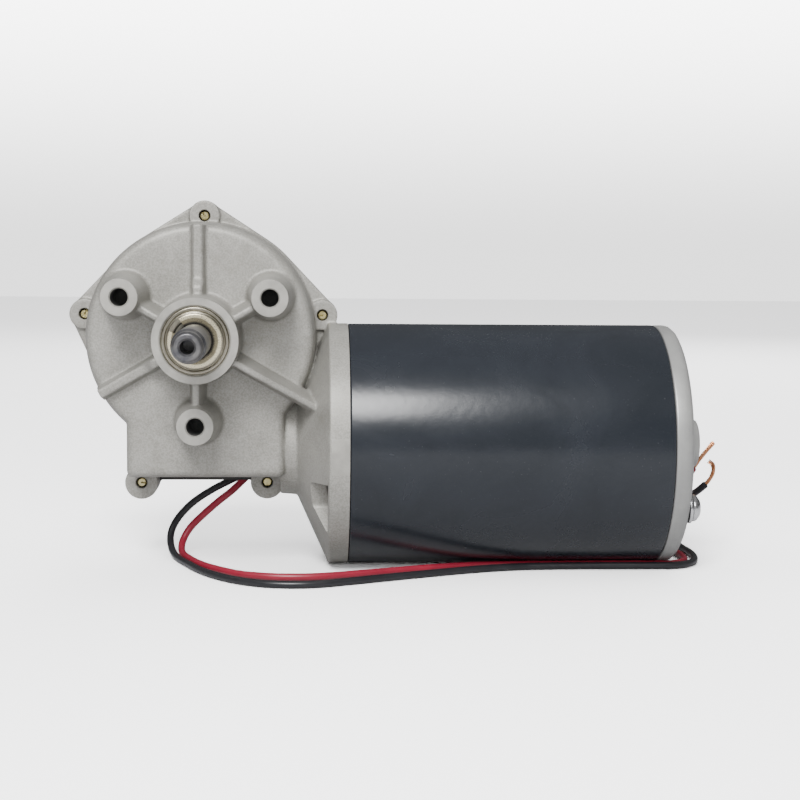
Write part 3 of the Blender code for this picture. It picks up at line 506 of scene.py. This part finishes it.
def smooth_route(knots, spacing):
    """Even steps along a smooth curve through the knots, and the curve's length."""
    knots = [Vector(knot) for knot in knots]
    padded = [2 * knots[0] - knots[1]] + knots + [2 * knots[-1] - knots[-2]]
    fine = []
    for index in range(1, len(padded) - 2):
        p0, p1, p2, p3 = padded[index - 1:index + 3]
        for step in range(40):
            t = step / 40.0
            point = (2 * p1 + (p2 - p0) * t + (2 * p0 - 5 * p1 + 4 * p2 - p3) * t * t
                     + (3 * p1 - p0 - 3 * p2 + p3) * t ** 3) * 0.5
            fine.append(point)
    fine.append(knots[-1])
    lengths = [0.0]
    for before, after in zip(fine, fine[1:]):
        lengths.append(lengths[-1] + (after - before).length)
    count = max(2, round(lengths[-1] / spacing))
    route, at = [], 0
    for step in range(count + 1):
        goal = lengths[-1] * step / count
        while at < len(fine) - 2 and lengths[at + 1] < goal:
            at += 1
        span = lengths[at + 1] - lengths[at]
        route.append(fine[at].lerp(fine[at + 1], min(1.0, (goal - lengths[at]) / span)))
    return route, lengths[-1]


def wire(name, routes, radius, resolution=5):
    """Round wires, one along each route."""
    curve = bpy.data.curves.new(name, "CURVE")
    curve.dimensions = "3D"
    curve.bevel_depth = radius * MM
    curve.bevel_resolution = resolution
    curve.use_fill_caps = True
    for route in routes:
        spline = curve.splines.new("POLY")
        spline.points.add(len(route) - 1)
        spline.use_smooth = True
        for point, knot in zip(spline.points, route):
            point.co = (*world(knot), 1.0)
    obj = bpy.data.objects.new(name, curve)
    bpy.context.scene.collection.objects.link(obj)
    return obj


def place(obj, body, slot, *nodes, look=None):
    """Paints a piece, lets it ride on a body and stand for its CAD nodes."""
    if look is not False:
        obj.data.materials.clear()
        obj.data.materials.append(look or LOOKS[slot])
    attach(obj, body)
    if nodes:
        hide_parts(*nodes)
    return obj


# ---------------------------------------------------------------- gearbox casting
def corner(points, centre, radius, start, steps=6):
    for step in range(steps + 1):
        u, v = polar(radius, start + 90.0 * step / steps)
        points.append((centre[0] + u, centre[1] + v))


def tower_outline(inset):
    left, right, low, high, radius = -68.1 + inset, -19.6 - inset, -9.0 + inset, OUT_Z, 2.0
    points = []
    corner(points, (right - radius, high - radius), radius, 0.0)
    corner(points, (left + radius, high - radius), radius, 90.0)
    corner(points, (left + radius, low + radius), radius, 180.0)
    corner(points, (right - radius, low + radius), radius, 270.0)
    return points


def rim_outline():
    points = circle(DOME_CENTRE, 36.2, 96)
    for ear in (0, 1, 4):
        points.extend(circle(output_point(*EARS[ear]), EAR_RADII[ear] - 0.2, 48))
    return hull(points)


def rib(name, angle, start, end, section_at):
    """A rib along a radius; section_at gives (side, depth) points at a distance."""
    radial = Vector(polar(1.0, angle))
    across = Vector((-radial.y, radial.x))
    sections = []
    for step in range(33):
        radius = start + (end - start) * step / 32.0
        section = []
        for side, depth in section_at(radius):
            flat = radial * radius + across * side
            x, z = output_point(flat.x, flat.y)
            section.append((x, depth, z))
        sections.append(section)
    return loft(name, sections)


def wide_section(radius):
    """A flat-topped rib that steps up just before it meets the collar."""
    climb = min(1.0, max(0.0, (18.6 - radius) / 3.2))
    top = FRONT_FACE - 3.2 - 2.8 * climb * climb * (3.0 - 2.0 * climb)
    return ((-2.45, RIB_ROOT), (2.45, RIB_ROOT), (2.3, FRONT_FACE), (1.5, top + 0.4), (1.1, top),
            (-1.1, top), (-1.5, top + 0.4), (-2.3, FRONT_FACE))


def web_section(near_top, far_top, near, far):
    def section(radius):
        top = near_top + (far_top - near_top) * (radius - near) / (far - near)
        return ((-2.7, RIB_ROOT), (2.7, RIB_ROOT), (2.5, FRONT_FACE), (1.0, top + 0.5), (0.6, top),
                (-0.6, top), (-1.0, top + 0.5), (-2.5, FRONT_FACE))
    return section


def bolt_place(turn):
    return (BOLT_RADIUS_AT * math.cos(BOLT_ANGLE + turn),
            BOLT_RADIUS_AT * math.sin(BOLT_ANGLE + turn))


def pocket_outline(turn):
    side = math.cos(turn)
    corners = []
    for y, z in ((-25.2, -11.2), (-35.6, -10.8), (-28.4, -22.2), (-23.6, -16.4)):
        corners.extend(circle((side * y, side * z), 2.1, 32))
    return hull(corners)


def casting():
    parts = [lathe("dome", rounded([
        (FRONT_FACE, 0.0), (FRONT_FACE, 34.0), (-13.8, 35.2), (SEAM + 2.0, DOME_RADIUS),
        (SEAM + 2.0, 0.0)], 2.4, 6), "Y", DOME_CENTRE, 160)]
    parts.append(loft("tower", [
        [on_axis("Y", FRONT_FACE + 0.02, u, v) for u, v in tower_outline(1.9)],
        [on_axis("Y", -17.6, u, v) for u, v in tower_outline(1.0)],
        [on_axis("Y", -16.6, u, v) for u, v in tower_outline(0.25)],
        [on_axis("Y", -14.8, u, v) for u, v in tower_outline(0.0)],
        [on_axis("Y", SEAM + 2.0, u, v) for u, v in tower_outline(0.0)]]))
    parts.append(rod("tunnel", -67.8, -20.0, 10.2, "X", MOTOR, 96))
    parts.append(prism("rim", rim_outline(), "Y", 4.6, SEAM + 2.0))
    for place_at, radius in zip(EARS, EAR_RADII):
        parts.append(rod("ear", EAR_FACE, SEAM + 2.0, radius, "Y", output_point(*place_at)))
    parts.append(lathe("bell", [
        (-21.0, 0.0), (-21.0, 16.0), (-15.8, 16.4), (-6.3, 37.3), (-6.0, 38.1), (2.0, 38.1),
        (2.0, 0.0)], "X", MOTOR, 192))
    parts.append(lathe("collar", [
        (-14.0, 0.0), (-14.0, 14.1), (-17.9, 14.0), (-18.4, 13.7), (-19.1, 13.3),
        (-37.0, 12.75), (-37.0, 0.0)], "Y", CENTRE, 128))
    for angle in BOSS_ANGLES:
        at = output_point(*polar(BOSS_CIRCLE, angle))
        parts.append(lathe("boss", [
            (-15.0, 0.0), (-15.0, 8.0), (-17.9, 7.9), (-18.4, 7.6), (-19.1, 7.2),
            (-36.9, 5.5), (-38.0, 5.4), (-38.0, 0.0)], "Y", at, 80))
    parts.append(rib("rib_up", 90.0, RIB_START, DOME_EDGE, wide_section))
    parts.append(rib("rib_side", 210.0, RIB_START, DOME_EDGE, wide_section))
    for angle in BOSS_ANGLES:
        parts.append(rib("web", angle, RIB_START, BOSS_CIRCLE - 3.0,
                         web_section(-33.2, -32.0, 12.0, 22.0)))
    parts.append(rib("long_web", 330.0, RIB_START, LONG_WEB_END,
                     web_section(-33.6, -25.5, 12.0, LONG_WEB_END)))
    parts.append(rod("grommet_pad", -17.0, -8.8, 6.2, "X", GROMMET_AT))
    body = cast(parts, "gearbox_casting", 0.4, 2)

    cutters = [
        box("beyond_seam", (-100.0, SEAM, 34.0), (-6.0, SEAM + 6.0, 90.0)),
        box("beyond_seam_low", (-100.0, SEAM, -30.0), (-21.5, SEAM + 6.0, 34.1)),
        lathe("inside_bell", [
            (6.0, 0.0), (6.0, 60.0), (3.0, 60.0), (3.0, 32.4), (-3.4, 32.4), (-9.2, 20.4),
            (-9.2, 16.8), (-4.8, 16.8), (-4.8, 13.1), (-13.2, 13.1), (-13.2, 8.6),
            (-61.6, 8.6), (-61.6, 6.1), (-66.6, 6.1), (-66.6, 0.0)], "X", MOTOR, 96),
        tube("past_flange", 0.0, 8.0, 35.2, 60.0, "X", MOTOR, 192),
        rod("chamber", -14.2, SEAM + 4.0, CHAMBER_RADIUS, "Y", CENTRE, 96),
        lathe("collar_inside", [
            (-45.0, 0.0), (-45.0, 18.0), (COLLAR_FACE, 18.0), (COLLAR_FACE, 10.7),
            (COLLAR_FACE + 0.35, 10.3), (-35.2, 10.3), (-35.2, BEARING_SEAT),
            (-13.0, BEARING_SEAT), (-13.0, 0.0)], "Y", CENTRE, 128)]
    for place_at in EARS:
        cutters.append(lathe("ear_hole", [
            (-2.0, 0.0), (-2.0, 2.1), (EAR_FACE - 0.1, 2.1), (EAR_FACE + 0.25, EAR_HOLE),
            (SEAM + 1.0, EAR_HOLE), (SEAM + 1.0, 0.0)], "Y", output_point(*place_at), 40))
    for angle in BOSS_ANGLES:
        at = output_point(*polar(BOSS_CIRCLE, angle))
        cutters.append(lathe("boss_top", [
            (-45.0, 0.0), (-45.0, 8.0), (-36.75, 8.0), (-36.75, 5.7), (BOSS_FACE, 5.35),
            (BOSS_FACE, 0.0)], "Y", at, 80))
        hole = [(-38.0, 0.0), (-38.0, 3.0), (BOSS_FACE, 3.0), (BOSS_FACE + 0.45, 2.6)]
        along = BOSS_FACE + 0.7
        while along < -23.0:
            hole.extend([(along, 2.6), (along + 0.4, 2.95), (along + 0.6, 2.95)])
            along += 1.0
        hole.extend([(-22.4, 2.6), (-22.0, 0.0)])
        cutters.append(lathe("mount_hole", hole, "Y", at, 48))
    for turn in (0.0, math.pi):
        cutters.append(rod("bolt_hole", -20.0, 5.0, BOLT_HOLE, "X", bolt_place(turn), 40))
        cutters.append(prism("bolt_pocket", pocket_outline(turn), "X", -22.0, -6.4))
    cutters.append(rod("grommet_hole", -18.0, -6.5, 3.85, "X", GROMMET_AT, 48))
    cut(body, cutters)
    body.data.materials.clear()
    body.data.materials.append(LOOKS["cast_aluminium"])
    body.data.materials.append(FACED)
    body.data.materials.append(BORE_PAINTED_SHADE)
    for face in body.data.polygons:
        at = face.center / MM - SHIFT
        off = math.hypot(at.x - OUT_X, at.z - OUT_Z)
        if face.normal.y < -0.99 and at.y < -35.9:
            face.material_index = 1
        elif at.y < -21.5 and 20.0 < off < 31.0:
            radial = min(math.dist((at.x, at.z), output_point(*polar(BOSS_CIRCLE, a)))
                         for a in BOSS_ANGLES)
            # the walls of the mounting holes behind the boss face take the painted shade
            face.material_index = 2 if radial < 2.97 and at.y > BOSS_FACE + 0.5 else 0
        elif off < 11.2 and at.y < -28.0:
            face.material_index = 1
    return body


def cover():
    parts = [prism("plate", rim_outline(), "Y", SEAM - 1.0, COVER_BACK),
             prism("tower", tower_outline(0.0), "Y", SEAM - 1.0, COVER_BACK)]
    parts.append(box("foot", (OUT_X + EARS[3][0], SEAM - 1.0, COVER_BOTTOM),
                     (OUT_X + EARS[2][0], COVER_BACK, 0.0)))
    for place_at, radius in zip(EARS, EAR_RADII):
        parts.append(rod("ear", SEAM - 1.0, COVER_BACK, radius, "Y", output_point(*place_at)))
    parts.append(lathe("hub", rounded([
        (SEAM + 2.0, 0.0), (SEAM + 2.0, 17.4), (SEAM + 4.6, 16.6), (SEAM + 5.6, 14.4),
        (SEAM + 9.6, 13.6), (SEAM + 9.6, 0.0)], 1.2), "Y", CENTRE, 96))
    for angle in range(30, 390, 60):
        radial = Vector(polar(1.0, angle))
        across = Vector((-radial.y, radial.x))
        sections = []
        for radius, top in ((10.0, 7.6), (16.5, 6.6), (30.0, 4.9)):
            section = []
            for side, depth in ((-1.3, 2.0), (1.3, 2.0), (0.9, top), (-0.9, top)):
                flat = radial * radius + across * side
                section.append((OUT_X + flat.x, SEAM + depth, OUT_Z + flat.y))
            sections.append(section)
        parts.append(loft("rib", sections))
    body = cast(parts, "gearbox_back_cover", 0.55, 3)
    cutters = [
        box("in_front", (-100.0, 0.0, -30.0), (5.0, SEAM + 0.9, 90.0)),
        rod("seat", SEAM - 2.0, SEAM + 7.4, BEARING_SEAT, "Y", CENTRE, 96),
        rod("relief", SEAM - 2.0, SEAM + 8.4, 7.0, "Y", CENTRE, 64),
        lathe("clear_of_bell", [
            (-22.0, 0.0), (-22.0, 16.7), (-16.2, 17.2), (-6.2, 38.0), (-6.2, 38.6), (5.0, 38.6),
            (5.0, 0.0)], "X", MOTOR, 96)]
    for ear in EARS:
        cutters.append(rod("hole", SEAM - 2.0, SEAM + 8.0, EAR_HOLE, "Y", output_point(*ear), 40))
    return cut(body, cutters)


place(casting(), "gearbox", "cast_aluminium", "gearbox_housing", look=False)
place(cover(), "gearbox", "cast_aluminium", "gearbox_cover")


def cross_recess(radius, depth_at, beyond, axis, at, half):
    """Two bars that cut a cross into a screw head."""
    bars = []
    for a, b in ((radius, half), (half, radius)):
        outline = [(at[0] + u * a, at[1] + v * b) for u, v in ((-1, -1), (1, -1), (1, 1), (-1, 1))]
        bars.append(prism("bar", outline, axis, depth_at, beyond))
    return bars


def screw(name, at, turn):
    """M3 thread-cutting pan head screw: slotted tip, thread, head with a cross recess."""
    head = SEAM + 4.35
    profile = [(4.2, 0.0), (4.2, 1.15), (4.5, 1.42)]
    along = 4.7
    while along < head - 1.2:
        profile.extend([(along, 1.5), (along + 0.14, 1.5), (along + 0.26, 1.28),
                        (along + 0.36, 1.28)])
        along += 0.5
    profile.extend([(head, 1.5), (head, 3.15), (head + 0.2, 3.3), (head + 1.1, 3.25),
                    (head + 1.8, 2.7), (head + 2.15, 1.9), (head + 2.2, 1.0), (head + 2.2, 0.0)])
    body = lathe(name, profile, "Y", at, 40)
    direction = Vector(polar(1.0, turn))
    side = Vector((-direction.y, direction.x))
    outline = []
    for u, v in ((-0.3, 0.25), (2.0, 0.25), (2.0, -0.25), (-0.3, -0.25)):
        flat = direction * u + side * v
        outline.append((at[0] + flat.x, at[1] + flat.y))
    return cut(body, [prism("flute", outline, "Y", 3.5, 6.0)]
               + cross_recess(1.9, head + 1.0, head + 4.0, "Y", at, 0.36))


for number, ear in enumerate(EARS, 1):
    place(screw(f"cover_screw_piece_{number}", output_point(*ear), 40.0 + 77.0 * number),
          "gearbox", "yellow_zinc", f"cover_screw_{number}")

# ---------------------------------------------------------------- motor shell
can = lathe("enamelled_can", rounded([
    (0.2, CAN_RADIUS), (CAN_LENGTH - 0.2, CAN_RADIUS),
    (CAN_LENGTH - 0.2, CAN_RADIUS - CAN_WALL), (0.2, CAN_RADIUS - CAN_WALL)], 0.5), "X",
    MOTOR, 192)
place(can, "gearbox", "black_enamel", "motor_can")


def cap():
    body = lathe("turned_rear_cap", rounded([
        (93.4, 0.0), (93.4, 35.2), (98.0, 35.2), (98.0, CAN_RADIUS), (CAP_END, CAN_RADIUS),
        (CAP_END, 9.4), (CAP_END + 0.7, 8.9), (HUB_END, 7.5), (HUB_END, 0.0)], 0.6, 4), "X",
        MOTOR, 160)
    edge = lathe("edge", [
        (101.0, 38.6), (101.0, 38.0), (102.1, 37.75), (103.1, 36.9), (103.7, 35.7),
        (CAP_END, 34.2), (CAP_END + 0.8, 34.2), (CAP_END + 0.8, 38.6)], "X", MOTOR, 160)
    cutters = [edge, tube("hollow", 90.0, 99.0, 14.6, 32.2),
               rod("seat", 90.0, 101.0, BEARING_SEAT), rod("nose", 90.0, 105.2, 5.0)]
    for turn in (0.0, math.pi):
        cutters.append(rod("bolt_hole", 90.0, 106.0, BOLT_HOLE, "X", bolt_place(turn), 40))
    return cut(body, cutters)


place(cap(), "gearbox", "machined_aluminium", "rear_cap")


def through_bolt(name, at):
    """M5 through bolt with a low domed head and a cross recess."""
    body = lathe(name, rounded([
        (-6.0, 0.0), (-6.0, 2.0), (-5.5, 2.4), (CAP_END + 1.3, 2.4), (CAP_END + 1.3, 4.2),
        (CAP_END + 2.6, 4.1), (CAP_END + 3.9, 2.4), (CAP_END + 3.9, 0.0)], 0.5, 4), "X", at, 56)
    return cut(body, cross_recess(2.4, CAP_END + 2.3, CAP_END + 6.0, "X", at, 0.5))


for number, turn in enumerate((0.0, math.pi), 1):
    place(through_bolt(f"through_bolt_piece_{number}", bolt_place(turn)), "gearbox",
          "plated_steel", f"through_bolt_{number}")
    washer = lathe(f"bolt_washer_piece_{number}", rounded([
        (CAP_END + 0.2, 2.75), (CAP_END + 0.2, 4.7), (CAP_END + 1.1, 4.7),
        (CAP_END + 1.1, 2.75)], 0.15, 2), "X", bolt_place(turn), 56)
    place(washer, "gearbox", "plated_steel", f"bolt_washer_{number}")

for entry in frame["record"]["subparts"]:
    mesh = frame["nodes"][entry["node"]].data
    mesh.materials.clear()
    mesh.materials.append(LOOKS[entry["material_slot"]])


# ---------------------------------------------------------------- output shaft and bearing
def shaft():
    body = lathe("stepped_output_shaft", rounded([
        (SHAFT_TIP, 0.0), (SHAFT_TIP, 3.65), (SHAFT_TIP + 1.0, 4.35), (SHAFT_TIP + 5.0, 4.35),
        (SHAFT_TIP + 5.6, SHAFT_RADIUS), (-28.2, SHAFT_RADIUS), (-28.2, 7.2), (-9.4, 7.2),
        (-9.4, 6.0), (9.9, 6.0), (9.9, SHAFT_RADIUS), (SEAM + 7.2, SHAFT_RADIUS),
        (SEAM + 7.6, 4.4), (SEAM + 7.6, 0.0)], 0.2, 2), "Y", CENTRE, 96)
    direction = Vector(polar(1.0, 135.0))
    across = Vector((-direction.y, direction.x))
    sections = []
    for y in (-61.0, -40.5):
        section = []
        for along, side in ((3.4, -1.5), (8.0, -1.5), (8.0, 1.5), (3.4, 1.5)):
            flat = direction * along + across * side
            section.append((OUT_X + flat.x, y, OUT_Z + flat.y))
        sections.append(section)
    cutters = [
        lathe("centre_hole", [
            (SHAFT_TIP - 1.0, 0.0), (SHAFT_TIP - 1.0, 2.6), (SHAFT_TIP, 2.6),
            (SHAFT_TIP + 0.6, 2.0), (SHAFT_TIP + 14.0, 2.0), (SHAFT_TIP + 14.0, 0.0)], "Y",
            CENTRE, 48),
        loft("slot", sections),
        box("key_seat", (OUT_X - 2.1, -6.1, OUT_Z + 4.1), (OUT_X + 2.1, 6.1, OUT_Z + 9.0)),
        tube("ring_groove", 7.2, 8.4, 5.5, 8.0, "Y", CENTRE, 64),
        tube("circlip_groove", -37.0, -35.8, 4.4, 8.0, "Y", CENTRE, 64)]
    return cut(body, cutters)


place(shaft(), "output", "shaft_steel", "output_shaft")

outer = lathe("front_bearing_outer", rounded([
    (-34.9, 9.5), (-34.9, 10.95), (-28.8, 10.95), (-28.8, 9.5)], 0.2, 3), "Y", CENTRE, 96)
place(outer, "gearbox", "bearing_steel", "front_output_bearing_outer_ring")
shield = lathe("front_bearing_shield_piece", rounded([
    (-35.45, 6.7), (-35.45, 8.3), (-35.2, 8.5), (-35.2, 8.8), (-35.7, 9.0), (-35.7, 9.75),
    (-35.5, 10.0), (-35.15, 10.0), (-35.15, 6.7)], 0.12, 2), "Y", CENTRE, 128)
place(shield, "gearbox", "bearing_steel", "front_bearing_shield")


def circlip():
    """A snap ring with rounded edges, open towards the upper left."""
    profile = rounded([(-36.75, 4.75), (-36.75, 8.0), (-36.05, 8.0), (-36.05, 4.75)], 0.22, 3)
    points, faces = [], []
    steps, first, sweep = 120, 159.0, 326.0
    count = len(profile)
    for step in range(steps + 1):
        turn = first + sweep * step / steps
        for along, radius in profile:
            points.append(on_axis("Y", along, *output_point(*polar(radius, turn))))
    for step in range(steps):
        for index in range(count):
            after = (index + 1) % count
            faces.append([step * count + index, step * count + after,
                          (step + 1) * count + after, (step + 1) * count + index])
    faces.append(list(range(count)))
    faces.append(list(range(steps * count, (steps + 1) * count)))
    return solid("shaft_circlip_piece", points, faces)


place(circlip(), "output", "bearing_steel", "shaft_circlip", look=CIRCLIP)
inner = lathe("front_bearing_inner", rounded([
    (-35.2, 5.06), (-35.2, 6.3), (-34.8, 6.62), (-28.8, 6.62), (-28.8, 5.06)], 0.15, 2), "Y",
    CENTRE, 96)
place(inner, "output", "bearing_steel", "front_output_bearing_inner_ring", look=SHADED)


# ---------------------------------------------------------------- leads
BLACK_ROUTE = (
    (-18.4, 22.6, -8.0), (-26.0, 21.6, -9.4), (-32.0, 19.4, -12.0), (-38.0, 17.4, -14.6),
    (-44.0, 16.2, -17.6), (-50.0, 15.6, -21.6), (-54.6, 15.0, -26.4), (-56.9, 13.4, -31.0),
    (-56.6, 9.6, -35.0), (-54.2, 1.0, -36.8), (-50.0, -10.5, -36.8), (-44.0, -24.0, -36.8),
    (-35.5, -35.6, -36.8), (-26.5, -42.2, -36.8), (-17.0, -44.4, -36.8), (-9.0, -43.4, -36.8),
    (0.0, -39.6, -36.8), (13.0, -33.4, -36.8), (27.0, -27.0, -36.8), (41.0, -21.2, -36.8),
    (55.0, -17.6, -36.8), (70.0, -16.6, -36.8), (85.0, -16.5, -36.8), (97.0, -16.6, -36.8),
    (104.4, -15.9, -36.8), (110.0, -10.6, -36.8), (112.6, -1.6, -36.8), (113.0, 7.6, -36.8),
    (112.4, 16.4, -36.8), (110.8, 24.0, -35.2), (110.0, 28.6, -30.8), (110.8, 28.2, -25.2),
    (112.8, 22.2, -21.2), (114.8, 13.4, -18.8), (115.6, 7.6, -16.6), (117.2, 4.6, -14.2))
RED_ROUTE = (
    (-18.4, 19.4, -8.0), (-26.0, 18.9, -9.6), (-31.6, 16.8, -12.6), (-37.0, 14.6, -17.4),
    (-41.6, 14.0, -21.0), (-46.4, 13.6, -25.2), (-50.6, 13.0, -29.4), (-53.0, 11.2, -33.6),
    (-52.8, 6.4, -36.4), (-49.8, -2.6, -36.8), (-45.2, -13.0, -36.8), (-39.6, -21.0, -36.8),
    (-33.4, -27.6, -36.8), (-26.0, -31.4, -36.8), (-18.0, -33.0, -36.8), (-10.0, -32.4, -36.8),
    (-1.0, -29.6, -36.8), (13.0, -24.0, -36.8), (26.0, -19.0, -36.8), (39.0, -15.4, -36.8),
    (55.0, -14.0, -36.8), (70.0, -13.9, -36.8), (85.0, -13.9, -36.8), (97.0, -13.9, -36.8),
    (103.4, -13.1, -36.8), (107.6, -8.6, -36.8), (108.9, -1.4, -36.8), (108.6, 6.4, -36.8),
    (108.0, 13.0, -36.0), (107.6, 18.0, -32.8), (107.8, 19.8, -27.6), (108.8, 17.8, -22.2),
    (110.4, 13.4, -17.0), (112.0, 8.8, -12.6), (113.4, 5.6, -9.0))
BLACK_STRANDS = ((117.5, 4.2, -13.7), (118.6, 3.4, -11.9), (119.4, 3.0, -9.6),
                 (119.2, 3.0, -7.4), (117.8, 3.4, -6.2))
RED_STRANDS = ((113.7, 5.2, -8.4), (115.0, 4.8, -6.2), (116.6, 4.6, -4.0), (118.4, 4.6, -1.8),
               (119.8, 4.8, -0.2))


def strands(name, knots):
    """Seven fine wires laid in a loose twist, opening a little towards the end."""
    centre = smooth_route(knots, 0.35)[0]
    routes = [centre]
    for index in range(6):
        route = []
        for step, point in enumerate(centre):
            t = step / (len(centre) - 1)
            ahead = centre[min(step + 1, len(centre) - 1)] - centre[max(step - 1, 0)]
            side = ahead.normalized().cross(Vector((0.3, 1.0, 0.2))).normalized()
            other = side.cross(ahead.normalized())
            turn = 2.0 * math.pi * (index / 6.0) + 2.6 * t
            reach = 0.43 + 0.12 * t * t
            route.append(point + side * (reach * math.cos(turn))
                         + other * (reach * math.sin(turn)))
        routes.append(route[: len(route) - (index % 3)])
    return wire(name, routes, 0.22, 2)


for side, route, tail, slot_name in (("black", BLACK_ROUTE, BLACK_STRANDS, "black_pvc"),
                                     ("red", RED_ROUTE, RED_STRANDS, "red_pvc")):
    bare = strands(f"{side}_lead_copper_strands", tail)
    place(bare, "gearbox", "copper", f"{side}_lead_strands")
    path, length = smooth_route(route, 1.5)
    lead = wire(f"{side}_insulated_lead", [path], LEAD_RADIUS)
    place(lead, "gearbox", slot_name, f"{side}_lead")

grommet = lathe("grommet_body", rounded([
    (-18.1, 0.0), (-18.1, 4.8), (-17.3, 5.4), (-17.2, 3.75), (-6.2, 3.75), (-6.2, 0.0)], 0.3, 3),
    "X", GROMMET_AT, 64)
cut(grommet, [rod("hole", -20.0, -4.0, 1.25, "X", (GROMMET_AT[0] + offset, GROMMET_AT[1]), 32)
              for offset in (-1.6, 1.6)])
place(grommet, "gearbox", "rubber", "lead_grommet")

# ---------------------------------------------------------------- stage, light and camera
FLOOR_HALF = 3.0
floor_mesh = bpy.data.meshes.new("floor")
floor_mesh.from_pydata([(x * FLOOR_HALF, y * FLOOR_HALF, 0.0)
                        for x, y in ((-1, -1), (1, -1), (1, 1), (-1, 1))], [], [(0, 1, 2, 3)])
floor = bpy.data.objects.new("floor", floor_mesh)
bpy.context.scene.collection.objects.link(floor)
floor_look = bpy.data.materials.new("pale_floor")
floor_look.use_nodes = True
tree = floor_look.node_tree
# Near white where it is seen directly, and a mid grey in the light it sends to the object.
joined = tree.nodes.new("ShaderNodeMixShader")
for socket, colour in ((1, (0.42, 0.42, 0.43)), (2, (1.5, 1.5, 1.51))):
    diffuse = tree.nodes.new("ShaderNodeBsdfDiffuse")
    diffuse.inputs["Color"].default_value = (*colour, 1.0)
    tree.links.new(diffuse.outputs[0], joined.inputs[socket])
ray = tree.nodes.new("ShaderNodeLightPath")
tree.links.new(ray.outputs["Is Camera Ray"], joined.inputs[0])
tree.links.new(joined.outputs[0], tree.nodes["Material Output"].inputs["Surface"])
floor_mesh.materials.append(floor_look)

studio = bpy.data.worlds.new("studio")
studio.use_nodes = True
tree = studio.node_tree
direction_of = tree.nodes.new("ShaderNodeTexCoord")
split = tree.nodes.new("ShaderNodeSeparateXYZ")
tree.links.new(direction_of.outputs["Generated"], split.inputs[0])


def ramp(output, start, end, low, high):
    node = tree.nodes.new("ShaderNodeMapRange")
    node.interpolation_type = "SMOOTHSTEP"
    for key, value in (("From Min", start), ("From Max", end), ("To Min", low), ("To Max", high)):
        node.inputs[key].default_value = value
    tree.links.new(output, node.inputs["Value"])
    return node.outputs["Result"]


def choose(question, otherwise, answer):
    node = tree.nodes.new("ShaderNodeMix")
    for source, socket in ((question, 0), (otherwise, 2), (answer, 3)):
        tree.links.new(source, node.inputs[socket])
    return node.outputs[0]


# A bright backdrop, a bright ceiling in the gloss, and little light on the object itself.
ray = tree.nodes.new("ShaderNodeLightPath")
height = split.outputs["Z"]
strength = choose(ray.outputs["Is Glossy Ray"], ramp(height, 0.4, 0.8, 0.06, 1.75),
                  ramp(height, 0.2, 0.9, 0.10, 0.22))
strength = choose(ray.outputs["Is Camera Ray"], strength, ramp(height, 0.0, 0.2, 2.2, 8.0))
background = tree.nodes["Background"]
background.inputs["Color"].default_value = (1.0, 1.0, 1.0, 1.0)
tree.links.new(strength, background.inputs["Strength"])
bpy.context.scene.world = studio


def softbox(name, at, towards, size, power):
    light = bpy.data.lights.new(name, "AREA")
    light.shape = "RECTANGLE"
    light.size, light.size_y = size
    light.energy = power
    obj = bpy.data.objects.new(name, light)
    obj.location = at
    obj.rotation_euler = (Vector(towards) - Vector(at)).to_track_quat("-Z", "Y").to_euler()
    bpy.context.scene.collection.objects.link(obj)
    return obj


softbox("key", (-0.22, -0.96, 0.93), towards=(0.0, 0.0, 0.05), size=(0.42, 0.5), power=26.5)
for name, at, size, power in (("front_fill", (-0.05, -1.3, 0.32), (1.0, 0.6), 15.0),
                              ("back_fill", (0.35, 1.1, 0.75), (0.9, 0.5), 9.0)):
    softbox(name, at, (0.0, 0.0, 0.04), size, power).visible_glossy = False

CAMERA_AT = (-0.0262, -0.5045, 0.0986)
PITCH, YAW, ROLL = 0.0897, 0.0591, 0.0081          # in radians: down, right, anticlockwise
forward = Vector((math.sin(YAW) * math.cos(PITCH), math.cos(YAW) * math.cos(PITCH),
                  -math.sin(PITCH)))
right = Vector((math.cos(YAW), -math.sin(YAW), 0.0))
up = right.cross(forward)
right, up = (right * math.cos(ROLL) + up * math.sin(ROLL),
             up * math.cos(ROLL) - right * math.sin(ROLL))
camera_data = bpy.data.cameras.new("camera")
camera_data.sensor_width = 36.0
camera_data.lens = 73.8
camera = bpy.data.objects.new("camera", camera_data)
camera.matrix_world = Matrix((
    (right.x, up.x, -forward.x, CAMERA_AT[0]), (right.y, up.y, -forward.y, CAMERA_AT[1]),
    (right.z, up.z, -forward.z, CAMERA_AT[2]), (0.0, 0.0, 0.0, 1.0)))
bpy.context.scene.collection.objects.link(camera)
bpy.context.scene.camera = camera
